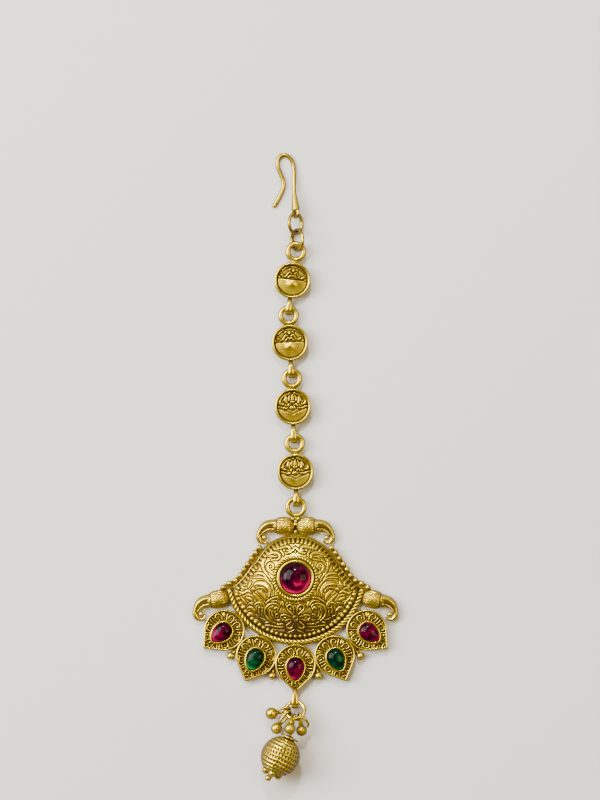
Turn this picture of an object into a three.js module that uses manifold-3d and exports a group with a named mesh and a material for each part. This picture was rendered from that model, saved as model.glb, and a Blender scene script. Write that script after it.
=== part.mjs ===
// Maang tikka: a forehead jewel of antique gold-coloured cast metal, lying flat with its face up.
// A hair hook, two jump rings and four medallion links carry a domed pendant with a rope border,
// five pear settings, a pair of birds at the top and one at each side, and a small cluster of
// ball drops round a latticed bead. Millimetres; +Y runs to the hook and +Z up out of the face.
import * as THREE from "three";
import { mergeVertices } from "three/addons/utils/BufferGeometryUtils.js";
import Module from "manifold-3d";

const wasm = await Module();
wasm.setup();

// Driving dimensions of the pendant. Its own frame has the centre of the rope circle at 0, 0.
const ropeRadius = 15.64;
const ropeWire = 0.56;
const ropeTwists = 24;
const ropeEnd = 76; // degrees from straight down
const plateRadius = 16.3;
const plateTop = 1.3;
const crownRadius = 10;
const crownCentreY = -1.28;
const domeEdge = 1.75;
const domeRise = 3.3;
const domeCentreY = -3;
const graniteRadius = 14.3; // circle of the small beads inside the rope
const granites = 18;
const crownTeethPerSide = 9;
const stoneRadius = 3.55;
const stoneY = -0.92;
const stoneSeat = 4.55;
const bezelRadius = 4.4;
const bezelTop = 5.5;
const milgrainRadius = 4.9;
const stoneGap = 0.16;
const pearCircle = 20.78;
const pearRadius = 4.62;
const pearTip = 6.35;
const pearPlate = 1.5;
const pearRim = 2.05;
const pearStoneRadius = 1.95;
const pearStoneTip = 3.35;
const pearStoneY = -0.3;
const pearBezel = 0.42;
const pearBezelTop = 2.6;
const pearSeat = 1.9;
const flutes = 8;

// Driving dimensions of the chain, the hook and the drop.
const linkLevel = 1.62; // height of the middle of the chain above the surface
const discRadius = 4.15;
const linkRing = 1.92;
const linkWire = 0.5;
const bailWidth = 1.4;
const bailBand = 0.62;
const bailHalfHeight = 0.9;
const jumpRing = 2.35;
const jumpWire = 0.34;
const hookWire = 0.48;
const eyeRadius = 0.95;
const eyeWire = 0.38;
const dropRing = 2.15;
const dropWire = 0.45;
const beadRadius = 4.45;
const beadHalfLength = 4.7;
const pinWire = 0.22;

const degree = Math.PI / 180;
const upward = new THREE.Vector3(0, 0, 1);
const vec = (x, y, z = 0) => new THREE.Vector3(x, y, z);

const gold = new THREE.MeshStandardMaterial({ color: 0xb58a2c, metalness: 1, roughness: 0.34 });
const ruby = new THREE.MeshStandardMaterial({ color: 0x6e0a2a, metalness: 0, roughness: 0.08 });
const emerald = new THREE.MeshStandardMaterial({ color: 0x06492a, metalness: 0, roughness: 0.08 });

// Solids: a closed geometry becomes a solid that can be joined and cut, and goes back to a geometry.

function solid(geometry) {
  const bare = geometry.clone();
  bare.deleteAttribute("normal");
  bare.deleteAttribute("uv");
  const merged = mergeVertices(bare, 1e-4);
  const corners = Array.from(merged.index.array);
  const make = (triVerts) =>
    new wasm.Manifold(
      new wasm.Mesh({
        numProp: 3,
        vertProperties: merged.attributes.position.array,
        triVerts: new Uint32Array(triVerts),
      }),
    );
  const made = make(corners);
  return made.volume() > 0 ? made : make(corners.reverse());
}

function join(geometries) {
  let bodies = geometries.map(solid);
  while (bodies.length > 1) {
    const paired = [];
    for (let i = 0; i < bodies.length; i += 2) {
      paired.push(i + 1 < bodies.length ? bodies[i].add(bodies[i + 1]) : bodies[i]);
    }
    bodies = paired;
  }
  return bodies[0];
}

function geometryOf(body) {
  const { vertProperties, triVerts } = body.getMesh();
  const geometry = new THREE.BufferGeometry();
  geometry.setAttribute("position", new THREE.BufferAttribute(vertProperties, 3));
  geometry.setIndex(new THREE.BufferAttribute(triVerts, 1));
  geometry.computeVertexNormals();
  return geometry;
}

function piece(name, body, material) {
  const mesh = new THREE.Mesh(geometryOf(body), material);
  mesh.name = name;
  return mesh;
}

// Shapes that three.js has no class for.

function faceted(points, corners) {
  const geometry = new THREE.BufferGeometry();
  geometry.setAttribute("position", new THREE.Float32BufferAttribute(points.flat(), 3));
  geometry.setIndex(corners);
  return geometry;
}

// A closed body along a curve; section(t) gives its outline at t as [across, up] pairs.
function sweep(curve, steps, section) {
  const points = [];
  const corners = [];
  const sides = section(0).length;
  for (let i = 0; i <= steps; i += 1) {
    const centre = curve.getPointAt(i / steps);
    const along = curve.getTangentAt(i / steps);
    const across = new THREE.Vector3().crossVectors(along, upward).normalize();
    const rise = new THREE.Vector3().crossVectors(across, along);
    for (const [a, b] of section(i / steps)) {
      points.push(centre.clone().addScaledVector(across, a).addScaledVector(rise, b).toArray());
    }
  }
  for (let i = 0; i < steps; i += 1) {
    for (let j = 0; j < sides; j += 1) {
      const near = i * sides + j;
      const beside = i * sides + ((j + 1) % sides);
      corners.push(near, beside, near + sides, beside, beside + sides, near + sides);
    }
  }
  const last = steps * sides;
  for (let j = 1; j < sides - 1; j += 1) {
    corners.push(0, j + 1, j, last, last + j, last + j + 1);
  }
  return faceted(points, corners);
}

function roundSection(radius, sides, flatten = 1, turn = 0) {
  const outline = [];
  for (let j = 0; j < sides; j += 1) {
    const angle = (2 * Math.PI * (j + 0.5)) / sides;
    const across = radius * Math.cos(angle);
    const up = radius * flatten * Math.sin(angle);
    outline.push([
      across * Math.cos(turn) - up * Math.sin(turn),
      across * Math.sin(turn) + up * Math.cos(turn),
    ]);
  }
  return outline;
}

// A closed body of one outline, drawn in towards a centre: each level is [scale, height].
function mound(outline, centre, levels, apex) {
  const count = outline.length;
  const points = [];
  const corners = [];
  for (const [scale, height] of levels) {
    for (const p of outline) {
      points.push([
        centre.x + (p.x - centre.x) * scale,
        centre.y + (p.y - centre.y) * scale,
        height,
      ]);
    }
  }
  const foot = points.push([centre.x, centre.y, levels[0][1]]) - 1;
  const top = points.push([centre.x, centre.y, apex]) - 1;
  for (let j = 0; j < count; j += 1) {
    const next = (j + 1) % count;
    corners.push(foot, next, j);
    for (let i = 0; i + 1 < levels.length; i += 1) {
      const low = i * count;
      corners.push(low + j, low + next, low + count + j);
      corners.push(low + next, low + count + next, low + count + j);
    }
    const high = (levels.length - 1) * count;
    corners.push(high + j, high + next, top);
  }
  return faceted(points, corners);
}

function slab(shape, low, high, segments = 8) {
  const geometry = new THREE.ExtrudeGeometry(shape, {
    depth: high - low,
    bevelEnabled: false,
    curveSegments: segments,
  });
  return geometry.translate(0, 0, low);
}

// A small cast ball.
function grain(radius, x, y, z) {
  return new THREE.SphereGeometry(radius, 6, 4).translate(x, y, z);
}

// A pointed leaf with a ridge down its middle.
function leaf(length, width, height, x, y, z, angle) {
  const geometry = new THREE.OctahedronGeometry(0.5);
  geometry.scale(length, width, height).rotateZ(angle);
  return geometry.translate(x, y, z);
}

// An eye with straight sides and round ends in the YZ plane, as wide as its band along X.
function bail(halfLength, halfHeight, band, width) {
  const side = halfLength - halfHeight;
  const outline = new THREE.Shape();
  outline.absarc(side, 0, halfHeight + band, -Math.PI / 2, Math.PI / 2);
  outline.absarc(-side, 0, halfHeight + band, Math.PI / 2, 1.5 * Math.PI);
  const hole = new THREE.Path();
  hole.absarc(side, 0, halfHeight, -Math.PI / 2, Math.PI / 2);
  hole.absarc(-side, 0, halfHeight, Math.PI / 2, 1.5 * Math.PI);
  outline.holes.push(hole);
  const geometry = slab(outline, -width / 2, width / 2, 2);
  return geometry.rotateX(Math.PI / 2).rotateZ(Math.PI / 2); // outline length to Y, width to X
}

function pearShape(radius, tip) {
  const spread = Math.acos(radius / tip); // where the straight flanks leave the round
  const shape = new THREE.Shape();
  shape.absarc(0, 0, radius, -Math.PI / 2 + spread, 1.5 * Math.PI - spread, false);
  shape.lineTo(0, -tip);
  return shape;
}

function openOutline(shape, segments) {
  const points = shape.getPoints(segments);
  return points.filter((p, i) => i === 0 || p.distanceTo(points[i - 1]) > 1e-6).filter(
    (p, i, all) => i === 0 || p.distanceTo(all[0]) > 1e-6,
  );
}

// The pendant.

// The right half of the dome's upper edge: a round crown that flares out to the tip.
function crownEdge() {
  const crownEnd = 25;
  const edge = new THREE.CurvePath();
  edge.add(
    new THREE.EllipseCurve(
      0, crownCentreY, crownRadius, crownRadius, Math.PI / 2, crownEnd * degree, true,
    ),
  );
  edge.add(
    new THREE.SplineCurve([
      new THREE.Vector2(9.06, 2.95),
      new THREE.Vector2(10.2, 1.95),
      new THREE.Vector2(11.5, 0.1),
      new THREE.Vector2(12.9, -1.5),
      new THREE.Vector2(14.7, -3.2),
    ]),
  );
  return edge;
}

const mirrored = (points) => points.map((p) => new THREE.Vector2(-p.x, p.y)).reverse();

function domeOutline() {
  const edge = crownEdge();
  const right = [];
  for (let i = 0; i <= 13; i += 1) {
    right.push(edge.getPointAt(i / 13));
  }
  const skirt = 14.85;
  for (let i = 1; i <= 10; i += 1) {
    const angle = (-12.5 - (77.5 * i) / 10) * degree;
    right.push(new THREE.Vector2(skirt * Math.cos(angle), skirt * Math.sin(angle)));
  }
  return [...right, ...mirrored(right.slice(1, -1))];
}

const outlineOfDome = domeOutline();
const domeCentre = new THREE.Vector2(0, domeCentreY);

// How far out a point lies between the dome's centre, 0, and its edge, 1.
function outwardness(x, y) {
  const ray = new THREE.Vector2(x, y).sub(domeCentre);
  for (let i = 0; i < outlineOfDome.length; i += 1) {
    const a = outlineOfDome[i].clone().sub(domeCentre);
    const b = outlineOfDome[(i + 1) % outlineOfDome.length].clone().sub(domeCentre);
    const side = b.clone().sub(a);
    const facing = ray.cross(side);
    const where = a.cross(ray) / facing;
    const reach = a.cross(side) / facing;
    if (where >= -1e-9 && where <= 1 && reach > 0) return 1 / reach;
  }
  return 0;
}

const domeProfile = (out) => domeEdge + domeRise * (1 - out ** 2.2) ** 0.8;
const domeHeight = (x, y) => domeProfile(Math.min(outwardness(x, y), 1));

function dome() {
  const levels = [[1, 0.6]];
  for (const out of [1, 0.93, 0.74, 0.4]) {
    levels.push([out, domeProfile(out)]);
  }
  return mound(outlineOfDome, domeCentre, levels, domeProfile(0));
}

// The flat plate behind the dome, wider than it along the upper edges for the outer beads.
function backPlate() {
  const ledge = [
    [8.6, 6.3], [9.9, 4.6], [11.2, 2.7], [12.9, 0], [14.1, -1.2], [15.4, -1.8], [17.3, -2.9],
    [17.4, -5], [15.7, -4.4],
  ].map(([x, y]) => new THREE.Vector2(x, y));
  const right = [];
  for (let i = 0; i <= 4; i += 1) {
    const angle = (90 - 12 * i) * degree;
    const radius = crownRadius + 0.35;
    right.push(
      new THREE.Vector2(radius * Math.cos(angle), crownCentreY + radius * Math.sin(angle)),
    );
  }
  right.push(...ledge);
  for (let i = 1; i <= 12; i += 1) {
    const angle = (-15.7 - (74.3 * i) / 12) * degree;
    right.push(new THREE.Vector2(plateRadius * Math.cos(angle), plateRadius * Math.sin(angle)));
  }
  return slab(new THREE.Shape([...right, ...mirrored(right.slice(1, -1))]), -0.5, plateTop);
}

const ropeArc = (radius, height) => {
  const arc = new THREE.EllipseCurve(
    0, 0, radius, radius, (-90 - ropeEnd) * degree, (-90 + ropeEnd) * degree,
  );
  return new THREE.CatmullRomCurve3(
    arc.getPoints(40).map((p) => vec(p.x, p.y, height)),
  );
};

// Three strands laid together: a triangle that turns a third of a circle in each twist.
function ropeBorder() {
  const stepsPerTwist = 2;
  return sweep(ropeArc(ropeRadius, plateTop + 0.3), ropeTwists * stepsPerTwist, (t) =>
    roundSection(ropeWire * 1.1, 3, 1, ((2 * Math.PI) / 3) * ropeTwists * t),
  );
}

// A row of beads run together: a wire that swells once for each bead.
function beadedWire(curve, beads, radius) {
  const ridgeUp = -Math.PI / 6;
  return sweep(curve, 2 * beads, (t) => {
    const swell = Math.round(2 * beads * t) % 2;
    return roundSection(radius * (0.45 + 0.55 * swell), 3, 1, ridgeUp);
  });
}

// The toothed border that follows the crown just inside its edge.
function crownTeeth() {
  const edge = crownEdge();
  const inset = 0.62;
  const teeth = [];
  for (let i = 0; i < crownTeethPerSide; i += 1) {
    const at = edge.getPointAt((i + 0.5) / crownTeethPerSide);
    const along = edge.getTangentAt((i + 0.5) / crownTeethPerSide);
    const y = at.y - inset * along.x;
    for (const side of [1, -1]) {
      const tooth = new THREE.BoxGeometry(1.1, 1.1, 0.9);
      tooth.rotateZ(side * Math.atan2(along.y, along.x));
      teeth.push(tooth.translate(side * (at.x + inset * along.y), y, domeEdge + 0.45));
    }
  }
  return teeth;
}

const outerBeads = [
  [8.3, 6.1], [9.2, 4.95], [10.1, 3.7], [11, 2.3], [11.85, 1.15], [12.65, -0.23], [13.8, -1.4],
  [15.2, -2.1], [16.6, -3],
];

function granulation() {
  const beads = [];
  for (const [x, y] of outerBeads) {
    for (const side of [1, -1]) {
      beads.push(grain(0.62, side * x, y, plateTop + 0.3));
    }
  }
  const skirtArc = ropeArc(graniteRadius, domeHeight(0, -graniteRadius));
  beads.push(beadedWire(skirtArc, granites, 0.5));
  const round = new THREE.EllipseCurve(0, stoneY, milgrainRadius, milgrainRadius, 0.001, 2 * Math.PI);
  const level = round.getPoints(32).map((p) => vec(p.x, p.y, domeHeight(p.x, p.y) + 0.05));
  const lay = -Math.PI / 6;
  beads.push(sweep(new THREE.CatmullRomCurve3(level), 20, () => roundSection(0.4, 3, 1, lay)));
  return beads;
}

// Raised scrolls on the right half of the dome: arcs that tighten from one radius to another.
const scrolls = [
  { x: 4.7, y: -8.6, from: 2.7, to: 1.1, start: -100, turn: 330, wire: 0.3 }, // big lower scroll
  { x: 6.2, y: 1.7, from: 1.7, to: 0.6, start: -150, turn: -380, wire: 0.28 }, // small spiral
  { x: 7.3, y: -3.6, from: 3.1, to: 2.3, start: 170, turn: -150, wire: 0.42 }, // crescent leaf
  { x: 3, y: 5.6, from: 1.3, to: 0.5, start: 0, turn: 330, wire: 0.26 }, // crown scroll
];

// Raised leaves and petals on the right half: length, width, place and direction in degrees.
const leaves = [
  { length: 2.6, width: 1.2, x: 5, y: 4.2, angle: 20 },
  { length: 3.4, width: 1.5, x: 7.5, y: -3.6, angle: -65 },
  { length: 2.2, width: 1, x: 10, y: -3.4, angle: -35 },
  { length: 2, width: 0.9, x: 11.6, y: -5.3, angle: -60 },
  { length: 2.6, width: 1.1, x: 9.2, y: -8, angle: 40 },
  { length: 2, width: 1.2, x: 0.95, y: -7.9, angle: 72 },
  { length: 2.4, width: 0.95, x: 1.75, y: -9.6, angle: 4 },
  { length: 1.9, width: 1.2, x: 1, y: -11.2, angle: -58 },
];

function domeRelief() {
  const raised = [];
  for (const side of [1, -1]) {
    for (const { x, y, from, to, start, turn, wire } of scrolls) {
      const route = [];
      for (let i = 0; i <= 8; i += 1) {
        const radius = from + ((to - from) * i) / 8;
        const angle = (start + (turn * i) / 8) * degree;
        const px = side * (x + radius * Math.cos(angle));
        const py = y + radius * Math.sin(angle);
        route.push(vec(px, py, domeHeight(px, py)));
      }
      raised.push(
        sweep(new THREE.CatmullRomCurve3(route), 7, (t) =>
          roundSection(1.3 * wire * (1 - 0.4 * t), 3, 1, Math.PI / 6),
        ),
      );
    }
    for (const { length, width, x, y, angle } of leaves) {
      const direction = side > 0 ? angle * degree : Math.PI - angle * degree;
      raised.push(leaf(length, width, 0.9, side * x, y, domeHeight(x, y), direction));
    }
  }
  return raised;
}

function centreSetting() {
  const ring = new THREE.Shape();
  ring.absarc(0, stoneY, bezelRadius, 0, 2 * Math.PI);
  return slab(ring, 1, bezelTop, 12);
}

function centrePocket() {
  const round = new THREE.Shape();
  round.absarc(0, stoneY, stoneRadius + stoneGap, 0, 2 * Math.PI);
  return slab(round, stoneSeat - stoneGap, bezelTop + 1, 12);
}

// The five pear settings stand round the rope with their tips out.
const pearAngles = [-51.8, -25.7, 0, 25.7, 51.8];
const pearTurns = [-49.5, -24.3, 0, 24.3, 49.5];

function placedPear(geometry, index) {
  const angle = pearAngles[index] * degree;
  geometry.rotateZ(pearTurns[index] * degree);
  return geometry.translate(pearCircle * Math.sin(angle), -pearCircle * Math.cos(angle), 0);
}

function pearSetting() {
  const plate = slab(pearShape(pearRadius, pearTip), -0.5, pearRim, 6);
  const floor = slab(pearShape(pearRadius - 0.42, pearTip - 0.62), pearPlate, pearRim + 1, 6);
  const flutesAround = [];
  for (let i = 0; i < flutes; i += 1) {
    const angle = (2 * Math.PI * (i + 0.5)) / flutes - Math.PI / 2;
    const flute = new THREE.BoxGeometry(1.1, 0.9, 0.7);
    flute.translate(3.3, 0, 0).rotateZ(angle).translate(0, -0.1, pearPlate + 0.25);
    flutesAround.push(flute);
  }
  const collar = slab(
    pearShape(pearStoneRadius + pearBezel, pearStoneTip + pearBezel * 1.4), 1, pearBezelTop, 5,
  ).translate(0, pearStoneY, 0);
  return join([geometryOf(solid(plate).subtract(solid(floor))), ...flutesAround, collar]);
}

function pearPocket() {
  const round = pearShape(pearStoneRadius + stoneGap, pearStoneTip + stoneGap * 1.5);
  return slab(round, pearSeat - stoneGap, pearBezelTop + 1, 5).translate(0, pearStoneY, 0);
}

// Small balls between the tips, each on a short stem from the seam of two settings.
function tipBalls() {
  const parts = [];
  for (const angle of [-38.5, -12.9, 12.9, 38.5]) {
    const x = Math.sin(angle * degree);
    const y = -Math.cos(angle * degree);
    parts.push(grain(0.87, 24 * x, 24 * y, 1.1));
    const stem = new THREE.BoxGeometry(0.9, 3, 1.4);
    parts.push(stem.rotateZ(angle * degree).translate(22.3 * x, 22.3 * y, 0.6));
  }
  return parts;
}

// A bird to the right: a barrel body, and a smooth neck that curls round a small ball.
function bird(place, turn, side) {
  const neck = [
    [2.2, 0.3], [4.2, -0.25], [5.4, -1.6], [5.65, -2.8], [5.05, -3.8], [4.1, -4.1], [3.2, -3.6],
    [3.3, -2.75],
  ];
  const route = new THREE.CatmullRomCurve3(neck.map(([x, y]) => vec(x, y, 1.1)));
  const body = new THREE.SphereGeometry(0.5, 8, 6).rotateZ(Math.PI / 2).scale(5.2, 3.75, 3.6);
  const parts = [
    body.translate(0, 0, 1.2),
    sweep(route, 9, (t) => roundSection(1.42 - 1.02 * t ** 0.75, 6)),
    grain(0.7, 4.15, -2.8, 1.3),
  ];
  return parts.map((part) => {
    part.rotateZ(turn * degree).translate(place[0], place[1], 0);
    return side > 0 ? part : part.scale(-1, 1, 1);
  });
}

const topBird = { place: [2.65, 11.05], turn: 0 };
const sideBird = { place: [18.05, -5.75], turn: -10.7 };

function birds() {
  const parts = [];
  for (const { place, turn } of [topBird, sideBird]) {
    parts.push(...bird(place, turn, 1), ...bird(place, turn, -1));
  }
  const web = new THREE.BoxGeometry(5, 3.6, 1.6).translate(0, 10.2, 0.4);
  return [...parts, web];
}

const topRing = vec(0.09, 15.41, linkLevel);

function topFitting() {
  const ring = new THREE.TorusGeometry(linkRing + 0.05, linkWire, 6, 16);
  const stem = new THREE.BoxGeometry(1.1, 2, 1.2).translate(0, 12.6, linkLevel - 0.1);
  return [
    ring.translate(topRing.x, topRing.y, topRing.z),
    stem,
    grain(0.5, 0.62, 12.75, 2.1),
    grain(0.5, -0.62, 12.75, 2.1),
    grain(0.5, 0, 9.6, 1.3),
  ];
}

// The drop ring leans: its top lies in the pendant's bail and its foot stands higher.
const dropCentre = vec(-0.12, -31.25, 2.5);
const dropLean = 24.7 * degree;
const bottomBail = { x: -0.15, y: -28.5, halfLength: 1.8, height: 1.62 };

function bottomFitting() {
  const eye = bail(bottomBail.halfLength, bailHalfHeight, bailBand, bailWidth + 0.2);
  return [eye.translate(bottomBail.x, bottomBail.y, bottomBail.height)];
}

function pendant() {
  const settings = pearAngles.map((_, i) => placedPear(geometryOf(pearSetting()), i));
  const whole = join([
    backPlate(),
    dome(),
    centreSetting(),
    ropeBorder(),
    ...crownTeeth(),
    ...granulation(),
    ...domeRelief(),
    ...settings,
    ...tipBalls(),
    ...birds(),
    ...topFitting(),
    ...bottomFitting(),
  ]);
  const pockets = join([
    centrePocket(),
    ...pearAngles.map((_, i) => placedPear(pearPocket(), i)),
    new THREE.BoxGeometry(60, 80, 10).translate(0, 0, -5), // the flat back
  ]);
  return whole.subtract(pockets);
}

// Cabochons: domed tops over a flat seat and a short upright girdle.
function cabochon(outline, centre, low, girdle, rise) {
  const levels = [[0.98, low], [1, low + 0.15]];
  for (const step of [0, 22, 45, 67]) {
    levels.push([Math.cos(step * degree), low + girdle + rise * Math.sin(step * degree)]);
  }
  return mound(outline, centre, levels, low + girdle + rise);
}

function centreStone() {
  const round = new THREE.Shape();
  round.absarc(0, stoneY, stoneRadius, 0, 2 * Math.PI);
  const outline = openOutline(round, 8);
  return cabochon(outline, new THREE.Vector2(0, stoneY), stoneSeat, 0.7, 1.6);
}

function pearStone() {
  const outline = openOutline(pearShape(pearStoneRadius, pearStoneTip), 5);
  const centre = new THREE.Vector2(0, -0.5);
  return cabochon(outline, centre, pearSeat, 0.45, 1.15).translate(0, pearStoneY, 0);
}

// The chain: where each medallion lies, how it leans (degrees, clockwise) and its ring's distance.
const links = [
  { x: -0.74, y: 67.53, lean: 7.1, ringAt: 6.6 },
  { x: -1.31, y: 53.2, lean: -2.9, ringAt: 6.25 },
  { x: -0.64, y: 38.5, lean: -1.7, ringAt: 6.45 },
  { x: -0.02, y: 23.53, lean: -1.7, ringAt: 6.5 },
];

function ringCentre({ x, y, lean, ringAt }) {
  return vec(x + ringAt * Math.sin(lean * degree), y + ringAt * Math.cos(lean * degree));
}

function medallionDisc() {
  const profile = [
    [0, -0.85], [discRadius, -0.7], [discRadius, 0.7], [3.85, 0.95], [3.4, 0.3], [0, 0.35],
  ].map(([r, z]) => new THREE.Vector2(r, z));
  return new THREE.LatheGeometry(profile, 15).rotateX(Math.PI / 2);
}

// The lower half is a smooth swelling bowl, the upper half holds a flower between two scrolls.
function medallionRelief() {
  const bowlShape = new THREE.Shape();
  bowlShape.moveTo(-3.1, 0.2);
  bowlShape.lineTo(0, -0.8);
  bowlShape.lineTo(3.1, 0.2);
  bowlShape.absarc(0, 0, 3.1, 0, -Math.PI, true);
  const bowl = openOutline(bowlShape, 4);
  const petals = [-1.7, 0, 1.7].map((x) =>
    leaf(2.4, 1.3, 1.1, x, 1.25 - 0.12 * x * x, 0.35, (90 - 22 * x) * degree),
  );
  return [mound(bowl, new THREE.Vector2(0, -1.4), [[1, 0], [0.8, 0.6]], 0.9), ...petals];
}

function chainLink(link, nextRing) {
  const reach = Math.hypot(nextRing.x - link.x, nextRing.y - link.y);
  const holeEnd = reach - (linkRing - linkWire) + 0.5;
  const holeStart = discRadius + 0.55;
  const ring = new THREE.TorusGeometry(linkRing, linkWire, 5, 14).translate(0, link.ringAt, 0);
  const solder = new THREE.OctahedronGeometry(0.7).scale(1.4, 1, 0.8);
  const eye = bail((holeEnd - holeStart) / 2, bailHalfHeight, bailBand, bailWidth);
  return join([
    medallionDisc(),
    ...medallionRelief(),
    ring,
    solder.translate(0, discRadius, 0),
    eye.translate(0, -(holeEnd + holeStart) / 2, 0),
  ]);
}

// The hook: the wire rises from its eye, bends over and comes back in an open S.
const eyeCentre = vec(0.05, 82.94, 2.2);
const eyeTurn = 35 * degree;
const hookRoute = [
  [-0.1, 1.5], [-0.35, 4.2], [-0.39, 8], [-0.45, 10.4], [-0.9, 12.1], [-2.1, 13.3], [-3.3, 13.25],
  [-4.1, 12.2], [-4.1, 10.7], [-3.4, 8.85], [-2.85, 7.3], [-3, 5.6], [-4.1, 3.2], [-5.22, 1.36],
];

function hairHook() {
  const shankRows = 4;
  const route = hookRoute.map(([x, y], i) => {
    const down = 1 - y / hookRoute[shankRows - 1][1];
    return vec(x, y, hookWire + (i < shankRows ? down * (eyeCentre.z - hookWire) : 0));
  });
  const wire = sweep(new THREE.CatmullRomCurve3(route), 28, () => roundSection(hookWire, 6));
  const crimp = sweep(
    new THREE.CatmullRomCurve3([vec(0, 1, 2.1), vec(-0.12, 2, 1.95), vec(-0.3, 3.6, 1.65)]),
    3,
    (t) => roundSection(0.85 - 0.3 * t, 8, 0.85),
  );
  const eye = new THREE.TorusGeometry(eyeRadius, eyeWire, 6, 16);
  eye.rotateY(Math.PI / 2 + eyeTurn).translate(0, 0, eyeCentre.z);
  return join([wire, crimp, eye]);
}

// The jump rings lean opposite ways, so each passes through the next.
const jumpRings = [
  { x: 0, y: 80.59, turn: 52 },
  { x: 0.39, y: 76.8, turn: -57 },
];

function jumpRingBody() {
  return solid(new THREE.TorusGeometry(jumpRing, jumpWire, 6, 16));
}

// The drop: a latticed bead on a long eye, with a cap plate and a knot of granules at its foot.
const beadCentre = vec(-3.57, -41.86, beadRadius);
const beadTurn = -26 * degree; // its axis leans, eye to the right
const capAt = 4.95;
const beadEyeTurn = 16 * degree;
const beadStem = vec(-0.43, 7.6, -1.06); // where the stem from the cap meets its eye
const beadEye = { x: -0.8, y: 8.87, z: -1.06, halfLength: 1.55 };

function dropBead() {
  const profile = [];
  const rings = 8;
  for (let i = 0; i <= rings; i += 1) {
    const angle = (-90 + (180 * i) / rings) * degree;
    profile.push(
      new THREE.Vector2(beadRadius * Math.cos(angle) ** 0.9, beadHalfLength * Math.sin(angle)),
    );
  }
  profile[0].x = 0;
  profile[rings].x = 0;
  const bead = new THREE.LatheGeometry(profile, 14);
  const cap = new THREE.CylinderGeometry(2.2, 2.05, 0.45, 12).translate(0, capAt, 0);
  const neck = new THREE.CylinderGeometry(1, 1.5, 0.9, 8).translate(0, capAt - 0.4, 0);
  const stemRoute = new THREE.CatmullRomCurve3([vec(0, capAt, 0), vec(-0.1, 6.3, -0.5), beadStem]);
  const stem = sweep(stemRoute, 4, () => roundSection(1.4 * pinWire, 6));
  const eye = bail(beadEye.halfLength - 2 * pinWire, dropWire + 0.3, 2 * pinWire, 2 * pinWire);
  eye.rotateZ(beadEyeTurn).translate(beadEye.x, beadEye.y, beadEye.z);
  const granules = [0, 90, 180, 270].map((angle) =>
    grain(0.88, 1.5 * Math.cos(angle * degree), -4.55, 1.5 * Math.sin(angle * degree)),
  );
  const tip = grain(0.74, 0, -5.95, 0);
  const core = new THREE.CylinderGeometry(0.8, 0.5, 1.4, 6).translate(0, -4.9, 0);
  return join([bead, cap, neck, stem, eye, ...granules, core, tip]);
}

// Ball drops on wire pins: each pin's eye passes round the drop ring at an angle in degrees.
const ballDrops = [
  { at: 175, x: -5.52, y: -31.97, z: 2.3, radius: 1.4 },
  { at: 210, x: -4.37, y: -35.42, z: 2.1, radius: 1.31 },
  { at: 246, x: -1.25, y: -35.35, z: 6.2, radius: 1.3 },
  { at: 302, x: 1.4, y: -35.88, z: 2.9, radius: 1.27 },
];

const ringPoint = (angle) => {
  const across = dropRing * Math.cos(angle * degree);
  const along = dropRing * Math.sin(angle * degree);
  return vec(
    dropCentre.x + across,
    dropCentre.y + along * Math.cos(dropLean),
    dropCentre.z - along * Math.sin(dropLean),
  );
};

function ballDrop({ at, x, y, z, radius }) {
  const held = ringPoint(at);
  const centre = vec(x, y, z);
  const axis = held.clone().sub(centre);
  const toRing = axis.length();
  const inside = dropWire + 2 * pinWire + 0.33; // the eye reaches this far beyond the ring's wire
  const eyeStart = radius * 0.8;
  const eyeEnd = toRing + inside;
  const halfLength = (eyeEnd - eyeStart) / 2;
  const eye = bail(halfLength - 2 * pinWire, dropWire + 0.3, 2 * pinWire, 2 * pinWire);
  eye.translate(0, (eyeEnd + eyeStart) / 2, 0);
  const body = join([new THREE.SphereGeometry(radius, 10, 6), eye]);
  const tangent = ringPoint(at + 1).sub(ringPoint(at - 1)).normalize();
  const ahead = axis.normalize();
  const square = tangent.clone().addScaledVector(ahead, -tangent.dot(ahead)).normalize();
  const third = new THREE.Vector3().crossVectors(square, ahead);
  const stand = new THREE.Matrix4().makeBasis(square, ahead, third);
  return { body, stand, centre };
}

// The whole jewel, with the middle of its footprint at the origin.
const tikka = new THREE.Group();

const hook = piece("hair_hook", hairHook(), gold);
hook.position.set(eyeCentre.x, eyeCentre.y, 0);
tikka.add(hook);

jumpRings.forEach(({ x, y, turn }, i) => {
  const ring = piece("hook_ring_" + (i + 1), jumpRingBody(), gold);
  const level = jumpRing * Math.sin(Math.abs(turn) * degree) + jumpWire;
  ring.position.set(x, y, level);
  ring.rotation.y = turn * degree;
  tikka.add(ring);
});

links.forEach((link, i) => {
  const nextRing = i + 1 < links.length ? ringCentre(links[i + 1]) : topRing;
  const medallion = piece("chain_link_" + (i + 1), chainLink(link, nextRing), gold);
  medallion.position.set(link.x, link.y, linkLevel);
  medallion.rotation.z = -link.lean * degree;
  tikka.add(medallion);
});

tikka.add(piece("pendant", pendant(), gold));
tikka.add(piece("centre_stone", solid(centreStone()), ruby));

const pearColours = [ruby, emerald, ruby, emerald, ruby];
pearColours.forEach((colour, i) => {
  tikka.add(piece("pear_stone_" + (i + 1), solid(placedPear(pearStone(), i)), colour));
});

const ringOfDrops = piece(
  "drop_ring", solid(new THREE.TorusGeometry(dropRing, dropWire, 6, 16)), gold,
);
ringOfDrops.position.copy(dropCentre);
ringOfDrops.rotation.x = -dropLean;
tikka.add(ringOfDrops);

ballDrops.forEach((drop, i) => {
  const { body, stand, centre } = ballDrop(drop);
  const mesh = piece("ball_drop_" + (i + 1), body, gold);
  mesh.quaternion.setFromRotationMatrix(stand);
  mesh.position.copy(centre);
  tikka.add(mesh);
});

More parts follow.
